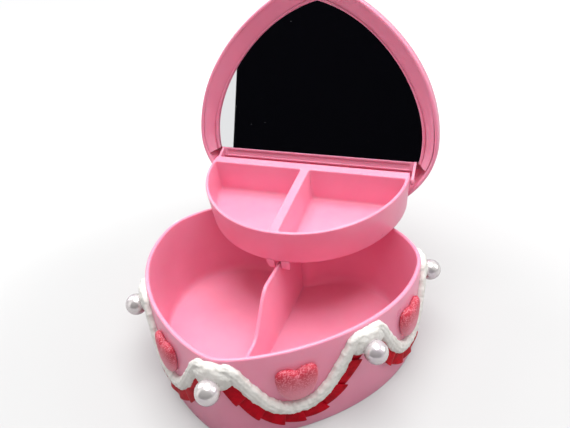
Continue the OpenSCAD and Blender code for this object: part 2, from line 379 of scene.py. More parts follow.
def loft(name: str, rings: list[Ring]) -> Piece:
    """Draws a capped skin through rings of points: a circle is extruded from ring to ring.

    Args:
        name: The new piece's name.
        rings: The rings in order, each with the same number of points.

    Returns:
        The piece, with its faces outwards.
    """
    clear_selection()
    bpy.ops.mesh.primitive_circle_add(vertices=len(rings[0]), radius=MM, fill_type="NOTHING")
    piece = named(bpy.context.object, name)
    bpy.ops.object.mode_set(mode="EDIT")
    bpy.ops.mesh.select_mode(type="VERT")
    work = bmesh.from_edit_mesh(piece.data)
    for layer in ("station", "row"):
        work.verts.layers.int.new(layer)
    station = work.verts.layers.int["station"]
    for index, vert in enumerate(work.verts):
        vert[station] = index
    lay_ring(work, rings[0], 0)
    for number, ring in enumerate(rings[1:], 1):
        bpy.ops.mesh.extrude_region_move()
        lay_ring(work, ring, number)
    for number in (0, len(rings) - 1):
        fill_ring(work, number)
    bmesh.update_edit_mesh(piece.data)
    bpy.ops.mesh.select_all(action="SELECT")
    bpy.ops.mesh.normals_make_consistent(inside=False)
    bpy.ops.object.mode_set(mode="OBJECT")
    for layer in ("station", "row"):
        piece.data.attributes.remove(piece.data.attributes[layer])
    return piece


def sheet_grid(name: str, columns: list[Ring]) -> Piece:
    """Lays a grid of cloth on columns of points, with an even UV map.

    Args:
        name: The new piece's name.
        columns: The columns in order, each with the same number of points.

    Returns:
        The piece, one layer thick.
    """
    across, along = len(columns[0]) - 1, len(columns) - 1
    clear_selection()
    bpy.ops.mesh.primitive_grid_add(x_subdivisions=along, y_subdivisions=across, size=2)
    piece = named(bpy.context.object, name)
    for vert in piece.data.vertices:
        i = round((vert.co.x + 1) / 2 * along)
        j = round((vert.co.y + 1) / 2 * across)
        vert.co = Vector(columns[i][j]) * MM
    return piece


def block(name: str, low: Spot, high: Spot) -> Piece:
    """Draws a square block between two corners."""
    x0, y0, z0 = low
    x1, y1, z1 = high
    outline = [(x0, y0), (x1, y0), (x1, y1), (x0, y1)]
    return loft(name, [at_height(outline, z0), at_height(outline, z1)])


def rod(name: str, radius: float, x0: float, x1: float, y: float, z: float,
        chamfer: float = 0.3, sides: int = 40) -> Piece:
    """Turns a rod along X with its two ends chamfered.

    Args:
        name: The new piece's name.
        radius: Its radius.
        x0: Where it starts.
        x1: Where it ends.
        y: Place of its axis.
        z: Height of its axis.
        chamfer: Size of the chamfers.
        sides: Sides of the circle.

    Returns:
        The rod.
    """
    stops = [(x0, radius - chamfer), (x0 + chamfer, radius), (x1 - chamfer, radius),
             (x1, radius - chamfer)]
    turns = [math.tau * k / sides for k in range(sides)]
    return loft(name, [[(x, y + r * math.cos(a), z + r * math.sin(a)) for a in turns]
                       for x, r in stops])


def moved(piece: Piece, matrix: Matrix) -> Piece:
    """Moves a piece's mesh by a matrix."""
    piece.data.transform(matrix)
    piece.data.update()
    return piece


# ---------- shader work ----------


class Graph:
    """A node tree being wired, for a material or for a group."""

    def __init__(self, tree: bpy.types.NodeTree) -> None:
        """Takes the tree to wire."""
        self.tree = tree

    def node(self, kind: str, settings: dict[str, object] | None = None,
             **sockets: object) -> bpy.types.Node:
        """Adds a node.

        Args:
            kind: The node's type.
            settings: Its properties by name.
            sockets: Its inputs by name, underscores for spaces: an output to link, or a value.

        Returns:
            The node.
        """
        node = self.tree.nodes.new(kind)
        for key, value in (settings or {}).items():
            setattr(node, key, value)
        for key, value in sockets.items():
            self.feed(node.inputs[key.replace("_", " ")], value)
        return node

    def feed(self, socket: bpy.types.NodeSocket, value: object) -> None:
        """Links an output to an input, or sets the input's value."""
        if isinstance(value, bpy.types.NodeSocket):
            self.tree.links.new(value, socket)
        else:
            socket.default_value = value

    def math(self, operation: str, a: object, b: object = 0.0,
             clamp: bool = False) -> bpy.types.NodeSocket:
        """Adds a maths node and gives its output."""
        node = self.node("ShaderNodeMath", {"operation": operation, "use_clamp": clamp})
        self.feed(node.inputs[0], a)
        self.feed(node.inputs[1], b)
        return node.outputs[0]

    def remap(self, value: object, low: float, high: float, to_low: float,
              to_high: float) -> bpy.types.NodeSocket:
        """Adds a node that carries a range of values to another, smoothly."""
        node = self.node("ShaderNodeMapRange", {"interpolation_type": "SMOOTHSTEP"}, Value=value,
                         From_Min=low, From_Max=high, To_Min=to_low, To_Max=to_high)
        return node.outputs["Result"]

    def blend(self, factor: object, a: object, b: object) -> bpy.types.NodeSocket:
        """Adds a colour mix and gives its output."""
        node = self.node("ShaderNodeMix", {"data_type": "RGBA"})
        self.feed(node.inputs[0], factor)
        self.feed(node.inputs[6], a)
        self.feed(node.inputs[7], b)
        return node.outputs[2]


def make_group(name: str, inputs: dict[str, tuple[str, object]],
               outputs: dict[str, str]) -> tuple[bpy.types.NodeTree, Graph, bpy.types.Node,
                                                 bpy.types.Node]:
    """Starts a shader group with named sockets.

    Args:
        name: The group's name.
        inputs: Each input's kind and value.
        outputs: Each output's kind.

    Returns:
        The group, its wiring, its input node and its output node.
    """
    tree = bpy.data.node_groups.new(name, "ShaderNodeTree")
    for label, (kind, value) in inputs.items():
        socket = tree.interface.new_socket(label, in_out="INPUT", socket_type=f"NodeSocket{kind}")
        if value is not None:
            socket.default_value = value
    for label, kind in outputs.items():
        tree.interface.new_socket(label, in_out="OUTPUT", socket_type=f"NodeSocket{kind}")
    graph = Graph(tree)
    return tree, graph, graph.node("NodeGroupInput"), graph.node("NodeGroupOutput")


class Effects:
    """Surface effects that several finishes share, each built once as a group."""

    def __init__(self) -> None:
        """Builds the groups."""
        self.mottle = self.build_mottle()
        self.handling = self.build_handling()
        self.grain = self.build_grain()

    def build_mottle(self) -> bpy.types.NodeTree:
        """Builds the soft drift of colour that moulded and set materials have."""
        tree, graph, into, out = make_group(
            "mottle", {"Vector": ("Vector", None), "Size": ("Float", 60.0),
                       "Main": ("Color", (1, 1, 1, 1)), "Drift": ("Color", (1, 1, 1, 1))},
            {"Color": "Color"})
        cloud = graph.node("ShaderNodeTexNoise", Vector=into.outputs["Vector"],
                           Scale=into.outputs["Size"], Detail=4.0, Roughness=0.55)
        mask = graph.remap(cloud.outputs["Fac"], 0.36, 0.66, 0.0, 1.0)
        color = graph.blend(mask, into.outputs["Main"], into.outputs["Drift"])
        graph.feed(out.inputs["Color"], color)
        return tree

    def build_handling(self) -> bpy.types.NodeTree:
        """Builds the rub marks and fine scratches that handling leaves in a gloss."""
        tree, graph, into, out = make_group(
            "handling", {"Vector": ("Vector", None), "Rough": ("Float", 0.3),
                         "Spread": ("Float", 0.1)},
            {"Roughness": "Float", "Height": "Float"})
        smear = graph.node("ShaderNodeTexNoise", Vector=into.outputs["Vector"], Scale=34.0,
                           Detail=6.0, Roughness=0.62)
        slant = graph.node("ShaderNodeMapping", Vector=into.outputs["Vector"],
                           Rotation=(0.5, 0.3, 0.8), Scale=(36.0, 1500.0, 1500.0))
        hair = graph.node("ShaderNodeTexNoise", Vector=slant.outputs["Vector"], Scale=1.0,
                          Detail=2.0)
        scratch = graph.remap(hair.outputs["Fac"], 0.70, 0.78, 0.0, 1.0)
        rub = graph.math("SUBTRACT", smear.outputs["Fac"], 0.5)
        spread = graph.math("MULTIPLY", rub, into.outputs["Spread"])
        rough = graph.math("ADD", into.outputs["Rough"], graph.math("MULTIPLY", spread, 2.0))
        lifted = graph.math("ADD", rough, graph.math("MULTIPLY", scratch, 0.08), clamp=True)
        graph.feed(out.inputs["Roughness"], lifted)
        graph.feed(out.inputs["Height"], graph.math("MULTIPLY", scratch, -1.0))
        return tree

    def build_grain(self) -> bpy.types.NodeTree:
        """Builds the fine skin of a moulding: an orange peel with a soft grain on it."""
        tree, graph, into, out = make_group(
            "grain", {"Vector": ("Vector", None), "Size": ("Float", 900.0)}, {"Height": "Float"})
        fine = graph.node("ShaderNodeTexNoise", Vector=into.outputs["Vector"],
                          Scale=into.outputs["Size"], Detail=3.0)
        wide = graph.node("ShaderNodeTexNoise", Vector=into.outputs["Vector"], Scale=140.0,
                          Detail=1.0)
        height = graph.math("ADD", graph.math("MULTIPLY", fine.outputs["Fac"], 0.25),
                            wide.outputs["Fac"])
        graph.feed(out.inputs["Height"], height)
        return tree


def linear(red: int, green: int, blue: int) -> Tint:
    """Turns a display colour of 0 to 255 into the linear one that shaders take."""
    def channel(value: int) -> float:
        """Turns one channel."""
        share = value / 255
        return share / 12.92 if share <= 0.04045 else ((share + 0.055) / 1.055) ** 2.4
    return (channel(red), channel(green), channel(blue), 1.0)


@dataclass(frozen=True)
class Finish:
    """What every finish starts from: a material with one Principled shader."""

    effects: Effects

    def start(self, name: str, **sockets: object) -> tuple[bpy.types.Material, Graph,
                                                           bpy.types.Node]:
        """Makes an empty material with its shader.

        Args:
            name: The material's name.
            sockets: The shader's own constants, underscores for spaces.

        Returns:
            The material, its wiring and its shader.
        """
        material = bpy.data.materials.new(name)
        material.use_nodes = True
        material.node_tree.nodes.clear()
        graph = Graph(material.node_tree)
        shader = graph.node("ShaderNodeBsdfPrincipled", **sockets)
        graph.node("ShaderNodeOutputMaterial", Surface=shader.outputs["BSDF"])
        return material, graph, shader

    def effect(self, graph: Graph, tree: bpy.types.NodeTree, **sockets: object) -> bpy.types.Node:
        """Places a shared effect in a material."""
        return graph.node("ShaderNodeGroup", {"node_tree": tree}, **sockets)

    def place(self, graph: Graph) -> bpy.types.NodeSocket:
        """Gives the piece's own coordinates."""
        return graph.node("ShaderNodeTexCoord").outputs["Object"]

    def handled(self, graph: Graph, place: object, rough: float, spread: float) -> bpy.types.Node:
        """Gives the rub marks and scratches of handling."""
        return self.effect(graph, self.effects.handling, Vector=place, Rough=rough, Spread=spread)

    def grained(self, graph: Graph, place: object, size: float) -> bpy.types.NodeSocket:
        """Gives the height of the skin's fine grain."""
        return self.effect(graph, self.effects.grain, Vector=place, Size=size).outputs["Height"]

    def coat(self, graph: Graph, shader: bpy.types.Node, color: object, rough: object,
             bump: bpy.types.Node) -> None:
        """Feeds the shader its colour, its roughness and its relief."""
        graph.feed(shader.inputs["Base Color"], color)
        graph.feed(shader.inputs["Roughness"], rough)
        graph.feed(shader.inputs["Normal"], bump.outputs["Normal"])


@dataclass(frozen=True)
class Mottled(Finish):
    """A finish whose colour drifts between two near tints."""

    main: Tint
    drift: Tint

    def mottled(self, graph: Graph, place: object, size: float) -> bpy.types.NodeSocket:
        """Gives the finish's colour as it drifts over the piece."""
        return self.effect(graph, self.effects.mottle, Vector=place, Size=size, Main=self.main,
                           Drift=self.drift).outputs["Color"]


@dataclass(frozen=True)
class PinkPlastic(Mottled):
    """Satin moulded plastic that lets some light through."""

    main: Tint = linear(242, 157, 183)
    drift: Tint = linear(240, 152, 179)
    rough: float = 0.30

    def build(self) -> bpy.types.Material:
        """Builds the material."""
        material, graph, shader = self.start(
            "pink_plastic", Subsurface_Weight=0.35, Subsurface_Radius=(1.0, 0.30, 0.42),
            Subsurface_Scale=0.0022, Subsurface_Anisotropy=0.3, IOR=1.49)
        place = self.place(graph)
        color = self.mottled(graph, place, 42.0)
        handling = self.handled(graph, place, self.rough, 0.07)
        grain = self.grained(graph, place, 1400.0)
        skin = graph.node("ShaderNodeBump", Strength=0.10, Distance=0.0003, Height=grain)
        nick = graph.node("ShaderNodeBump", Strength=0.15, Distance=0.00003,
                          Height=handling.outputs["Height"], Normal=skin.outputs["Normal"])
        self.coat(graph, shader, color, handling.outputs["Roughness"], nick)
        return material


@dataclass(frozen=True)
class WhitePaste(Mottled):
    """Whipped modelling paste, set hard, with a soft sheen."""

    main: Tint = linear(236, 233, 228)
    drift: Tint = linear(222, 218, 212)

    def build(self) -> bpy.types.Material:
        """Builds the material."""
        material, graph, shader = self.start(
            "white_paste", Subsurface_Weight=0.12, Subsurface_Radius=(1.0, 0.9, 0.8),
            Subsurface_Scale=0.0012, IOR=1.45)
        place = self.place(graph)
        color = self.mottled(graph, place, 210.0)
        handling = self.handled(graph, place, 0.42, 0.16)
        grain = self.grained(graph, place, 2600.0)
        pores = graph.node("ShaderNodeTexVoronoi", Vector=place, Scale=1100.0)
        pits = graph.remap(pores.outputs["Distance"], 0.0, 0.22, -1.0, 0.0)
        height = graph.math("ADD", grain, pits)
        bump = graph.node("ShaderNodeBump", Strength=0.35, Distance=0.00012, Height=height)
        self.coat(graph, shader, color, handling.outputs["Roughness"], bump)
        return material


@dataclass(frozen=True)
class SatinRibbon(Mottled):
    """Deep red satin ribbon, its fine ribs running across the width."""

    main: Tint = linear(200, 0, 30)
    drift: Tint = linear(168, 0, 24)
    rib_count: float = 420.0
    rib_pitch: float = 6.3

    def build(self) -> bpy.types.Material:
        """Builds the material."""
        material, graph, shader = self.start(
            "satin_ribbon", Sheen_Weight=0.02, Sheen_Roughness=0.35, IOR=1.5,
            Sheen_Tint=(1.0, 0.25, 0.3, 1.0), Specular_IOR_Level=0.08)
        place = self.place(graph)
        cloth = graph.node("ShaderNodeTexCoord").outputs["UV"]
        color = self.mottled(graph, place, 230.0)
        warp = graph.node("ShaderNodeTexWave", {"bands_direction": "X"}, Vector=cloth,
                          Scale=self.rib_count / self.rib_pitch, Distortion=0.6, Detail=1.0)
        weft = graph.node("ShaderNodeTexWave", {"bands_direction": "Y"}, Vector=cloth,
                          Scale=9.0, Distortion=0.3)
        height = graph.math("ADD", warp.outputs["Fac"],
                            graph.math("MULTIPLY", weft.outputs["Fac"], 0.4))
        bump = graph.node("ShaderNodeBump", Strength=0.25, Distance=0.00005, Height=height)
        rough = graph.remap(warp.outputs["Fac"], 0.0, 1.0, 0.30, 0.42)
        self.coat(graph, shader, color, rough, bump)
        return material


@dataclass(frozen=True)
class SugaredJelly(Finish):
    """Jelly sweet rolled in sugar, red at the top and paler towards its point, its pale grains
    partly sugar and partly painted sheen.
    """

    top: Tint = linear(202, 46, 70)
    low: Tint = linear(232, 146, 164)
    # Pale colour of the sugar grains, also lightened to serve as painted sheen.
    frost_and_sheen: Tint = linear(238, 150, 166)
    top_z: float = 39.0
    low_z: float = 24.0

    def build(self) -> bpy.types.Material:
        """Builds the material."""
        material, graph, shader = self.start(
            "sugared_jelly", Subsurface_Weight=0.4, Subsurface_Radius=(1.0, 0.25, 0.25),
            Subsurface_Scale=0.0016, IOR=1.5)
        place = self.place(graph)
        height = graph.node("ShaderNodeSeparateXYZ", Vector=place).outputs["Z"]
        wander = graph.node("ShaderNodeTexNoise", Vector=place, Scale=260.0, Detail=3.0)
        stray = graph.math("MULTIPLY", graph.math("SUBTRACT", wander.outputs["Fac"], 0.5), 0.008)
        fade = graph.remap(graph.math("ADD", height, stray), self.low_z * MM, self.top_z * MM,
                           0.0, 1.0)
        jelly = graph.blend(fade, self.low, self.top)
        # Pale grains blended over the jelly: partly the sugar's own colour, partly painted sheen
        # that lightens the hearts.
        crystals = graph.node("ShaderNodeTexVoronoi", Vector=place, Scale=1900.0)
        sugar_and_sheen_mask = graph.remap(crystals.outputs["Color"], 0.40, 0.80, 0.0, 0.65)
        sugared = graph.blend(sugar_and_sheen_mask, jelly, self.frost_and_sheen)
        grain = self.grained(graph, place, 2400.0)
        relief = graph.math("ADD", crystals.outputs["Distance"], grain)
        bump = graph.node("ShaderNodeBump", Strength=0.5, Distance=0.00016, Height=relief)
        rough = graph.remap(crystals.outputs["Color"], 0.2, 0.8, 0.35, 0.75)
        self.coat(graph, shader, sugared, rough, bump)
        return material


@dataclass(frozen=True)
class Nacre(Mottled):
    """Pearlescent coat on a bead."""

    main: Tint = linear(232, 226, 224)
    drift: Tint = linear(226, 214, 222)

    def build(self) -> bpy.types.Material:
        """Builds the material."""
        material, graph, shader = self.start(
            "nacre", Coat_Weight=0.8, Coat_Roughness=0.05, Coat_IOR=1.6, Metallic=0.55, IOR=1.6)
        place = self.place(graph)
        color = self.mottled(graph, place, 150.0)
        handling = self.handled(graph, place, 0.20, 0.06)
        grain = self.grained(graph, place, 1800.0)
        bump = graph.node("ShaderNodeBump", Strength=0.05, Distance=0.0001, Height=grain)
        self.coat(graph, shader, color, handling.outputs["Roughness"], bump)
        return material


@dataclass(frozen=True)
class SilveredGlass(Finish):
    """Mirror glass with faint smears and specks of dust."""

    silver: Tint = (0.90, 0.91, 0.92, 1.0)
    dust: Tint = (0.55, 0.56, 0.60, 1.0)

    def build(self) -> bpy.types.Material:
        """Builds the material."""
        material, graph, shader = self.start("silvered_glass", IOR=1.52)
        place = self.place(graph)
        handling = self.handled(graph, place, 0.012, 0.012)
        specks = graph.node("ShaderNodeTexVoronoi", Vector=place, Scale=95.0)
        speck = graph.remap(specks.outputs["Distance"], 0.010, 0.018, 0.5, 0.0)
        color = graph.blend(speck, self.silver, self.dust)
        rough = graph.math("ADD", handling.outputs["Roughness"],
                           graph.math("MULTIPLY", speck, 0.5))
        metal = graph.math("SUBTRACT", 1.0, graph.math("MULTIPLY", speck, 0.7))
        graph.feed(shader.inputs["Base Color"], color)
        graph.feed(shader.inputs["Roughness"], rough)
        graph.feed(shader.inputs["Metallic"], metal)
        return material


@dataclass(frozen=True)
class DrawnWire(Mottled):
    """Bright drawn steel wire."""

    main: Tint = (0.56, 0.56, 0.57, 1.0)
    drift: Tint = (0.44, 0.44, 0.46, 1.0)

    def build(self) -> bpy.types.Material:
        """Builds the material."""
        material, graph, shader = self.start("drawn_wire", Metallic=1.0, Anisotropic=0.5)
        place = self.place(graph)
        color = self.mottled(graph, place, 500.0)
        handling = self.handled(graph, place, 0.28, 0.12)
        bump = graph.node("ShaderNodeBump", Strength=0.3, Distance=0.00002,
                          Height=handling.outputs["Height"])
        self.coat(graph, shader, color, handling.outputs["Roughness"], bump)
        return material


@dataclass(frozen=True)
class FoamTape(Mottled):
    """White foam tape with open pores."""

    main: Tint = (0.74, 0.74, 0.72, 1.0)
    drift: Tint = (0.62, 0.62, 0.60, 1.0)

    def build(self) -> bpy.types.Material:
        """Builds the material."""
        material, graph, shader = self.start("foam_tape")
        place = self.place(graph)
        color = self.mottled(graph, place, 160.0)
        pores = graph.node("ShaderNodeTexVoronoi", Vector=place, Scale=1600.0)
        bump = graph.node("ShaderNodeBump", Strength=0.7, Distance=0.0003,
                          Height=pores.outputs["Distance"])
        rough = graph.remap(pores.outputs["Distance"], 0.0, 0.6, 0.95, 0.8)
        self.coat(graph, shader, color, rough, bump)
        return material


class Finishes:
    """Every material of the box, by the piece that it is for."""

    def __init__(self) -> None:
        """Builds the materials on one set of shared effects."""
        effects = Effects()
        self.plastic = PinkPlastic(effects).build()
        self.paste = WhitePaste(effects).build()
        self.ribbon = SatinRibbon(effects).build()
        self.sugar = SugaredJelly(effects).build()
        self.nacre = Nacre(effects).build()
        self.mirror = SilveredGlass(effects).build()
        self.wire = DrawnWire(effects).build()
        self.foam = FoamTape(effects).build()


def dress(piece: Piece, material: bpy.types.Material, body: str, slot: str,
          *nodes: str) -> Piece:
    """Gives a finished piece its material, its body and the nodes that it stands for.

    Args:
        piece: The finished piece.
        material: Its material.
        body: The body that it rides on.
        slot: The record's material slot; not used.
        nodes: The nodes that it replaces.

    Returns:
        The same piece.
    """
    piece.data.materials.clear()
    piece.data.materials.append(material)
    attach(piece, body)
    if nodes:
        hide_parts(*nodes)
    LOG.info("%s: %d faces on %s", piece.name, len(piece.data.polygons), body)
    return piece


def paint_node(name: str, material: bpy.types.Material) -> None:
    """Gives a carried-over node its material in every slot."""
    node = frame["nodes"][name]
    if not node.material_slots:
        node.data.materials.append(material)
    for slot in node.material_slots:
        slot.material = material


# ---------- sub-assemblies ----------


def joint_row(name: str) -> dict[str, object]:
    """Gives a joint of the record by its name."""
    return next(j for j in frame["record"]["behaviour"]["joints"] if j["name"] == name)


@dataclass
class Hinge:
    """The lid's hinge axis, and the swing that opens what is drawn closed."""

    open_degrees: float = field(default_factory=lambda: joint_row("lid_hinge")["range_deg"][1])
    axis: Vector = field(
        default_factory=lambda: Vector(joint_row("lid_hinge")["pos_m"]) / MM)
    lobe_x: float = 30.0
    knuckle_r: float = 2.6
    lid_knuckle: float = 5.0
    tub_knuckle: float = 4.0
    gap: float = 0.3

    def swing(self) -> Matrix:
        """Gives the turn from closed to open, in metres."""
        at = self.axis * MM
        turn = Matrix.Rotation(math.radians(-self.open_degrees), 4, "X")
        return Matrix.Translation(at) @ turn @ Matrix.Translation(-at)

    def centres(self) -> list[float]:
        """Gives the two hinges' places along X."""
        return [-self.lobe_x, self.lobe_x]


@dataclass
class Tub:
    """The heart-shaped tub with its drafted cavity, and its stepped divider."""

    heart: HeartLine
    hinge: Hinge
    height: float = 49.2
    wall: float = 2.2
    floor: float = 2.6
    edge: float = 1.0
    fillet: float = 5.5
    divider_top_t: float = 2.1
    divider_foot_t: float = 3.3
    divider_drop: float = 6.8
    divider_low: float = 21.2
    divider_low_l: float = 39.0
    divider_step_l: float = 24.0
    divider_flare: float = 1.0
    wall_lean: float = 0.62
    bore_r: float = 1.04
    clear: float = 0.02

    def floor_arcs(self) -> list[list[Flat]]:
        """Gives the floor's own heart: the cavity's walls lean in, most at the backs."""
        tip = [(0.0, -62.0), (12.6, -62.0), (67.0, -33.0), (67.2, 14.0)]
        side = [(67.2, 14.0), (67.2, 41.0), (53.0, 54.5), (27.0, 54.5)]
        notch = [(27.0, 54.5), (14.0, 54.5), (8.0, 45.8), (0.0, 45.8)]
        return [tip, side, notch]

    def rings(self) -> list[Ring]:
        """Gives the skin's rings: up the outside, over the rim and down to the floor."""
        line, edge, top = self.heart.whole(), self.edge, self.height
        rings = []
        for k in range(5):
            angle = math.radians(90 * k / 4)
            depth, z = edge * (1 - math.sin(angle)), edge * (1 - math.cos(angle))
            rings.append(at_height(inset(line, depth), z))
        for share in (0.25, 0.5, 0.75):
            rings.append(at_height(line, top * share))
        for k in range(9):
            angle = math.radians(180 * k / 8)
            depth = edge * (1 - math.cos(angle)) + (self.wall - 2 * edge) * (k > 4)
            rings.append(at_height(inset(line, depth), top - edge + edge * math.sin(angle)))
        inner = inset(line, self.wall)
        low = self.heart.whole(self.floor_arcs())
        depth = top - edge - self.floor
        for k in range(1, 7):
            share = k / 6 * (1 - self.fillet / depth)
            wall_line = mix_points(inner, low, self.wall_lean * share)
            rings.append(at_height(wall_line, top - edge - share * depth))
        reached = self.wall_lean * (1 - self.fillet / depth)
        for k in range(1, 9):
            angle = math.radians(90 * k / 8)
            share = mix(reached, 1.0, 1 - math.cos(angle))
            z = self.floor + self.fillet * (1 - math.sin(angle))
            rings.append(at_height(mix_points(inner, low, share), z))
        for share in (0.06, 0.3):
            rings.append(at_height(mix_points(low, [(0.0, 0.0)] * len(low), share), self.floor))
        return rings

    def pocket(self, x0: float, x1: float) -> Piece:
        """Draws the U-shaped pocket that the lid's knuckle turns in, open at the rim."""
        at, radius = self.hinge.axis, self.hinge.knuckle_r + self.hinge.gap
        arc = [math.radians(180 + 180 * k / 20) for k in range(21)]
        shape = [(at.y + radius * math.cos(a), at.z + radius * math.sin(a)) for a in arc]
        above = self.height + 1.37
        shape += [(at.y + radius, above), (at.y - radius, above)]
        return loft("pocket", [[(x, y, z) for y, z in shape] for x in (x0, x1)])

    def build_tub(self) -> Piece:
        """Builds the tub with its hinge knuckles and the pockets between them."""
        tub = loft("tub_shell", self.rings())
        at, hinge = self.hinge.axis, self.hinge
        for x in hinge.centres():
            half = hinge.lid_knuckle / 2 + hinge.gap
            combine(tub, self.pocket(x - half, x + half), Join.CUT)
            for start in (x - half - hinge.tub_knuckle, x + half):
                knuckle = rod("knuckle", hinge.knuckle_r, start + self.clear,
                              start + hinge.tub_knuckle - self.clear, at.y, at.z)
                combine(tub, knuckle, Join.WELD)
            bore = rod("bore", self.bore_r, x - half - hinge.tub_knuckle - 1,
                       x + half + hinge.tub_knuckle + 1, at.y, at.z, chamfer=0.01)
            combine(tub, bore, Join.CUT)
        return smooth(outwards(tub), 38)

    def divider_top(self, y: float) -> float:
        """Gives the divider's height at y: low in front, high behind, a smooth step between."""
        t = (y + self.heart.back_y - self.divider_low_l) / self.divider_step_l
        t = min(1.0, max(0.0, t))
        high = self.height - self.divider_drop
        return mix(self.divider_low, high, (1 - math.cos(math.pi * t)) / 2)

    def divider_ring(self, y: float) -> Ring:
        """Gives the divider's section at y: round on top, thicker and filleted at its foot."""
        top, flare = self.divider_top(y), self.divider_flare
        front = max(0.0, 1 - (y + self.heart.back_y) / 9.0)
        half_top = self.divider_top_t / 2 + 0.5 * front**2
        half_foot = self.divider_foot_t / 2 + 0.5 * front**2
        arch = [(half_top * math.cos(a), top - half_top * (1 - math.sin(a)) * 0.8)
                for a in [math.pi * k / 8 for k in range(9)]]
        foot = self.floor - 0.4
        right = [(half_foot + flare, foot), (half_foot + flare * 0.35, self.floor + 0.5),
                 (half_foot, self.floor + 1.6)]
        section = right + arch + [(-x, z) for x, z in right[::-1]]
        return [(x, y, z) for x, z in section]

    def build_divider(self) -> Piece:
        """Builds the divider from behind the tip to the notch."""
        front = -self.heart.back_y + self.wall - 0.3
        back = self.heart.back_y - self.heart.notch_d - self.wall + 0.3
        count = 72
        rings = [self.divider_ring(mix(front, back, k / count)) for k in range(count + 1)]
        return smooth(loft("divider_blade", rings), 40)

    def build(self, finishes: Finishes) -> None:
        """Builds and dresses the tub, its divider and the hinge pins."""
        dress(self.build_tub(), finishes.plastic, "box", "pink_plastic", "tub")
        dress(self.build_divider(), finishes.plastic, "box", "pink_plastic", "divider")
        for side in Side:
            paint_node(f"hinge_pin_{side.word}", finishes.wire)


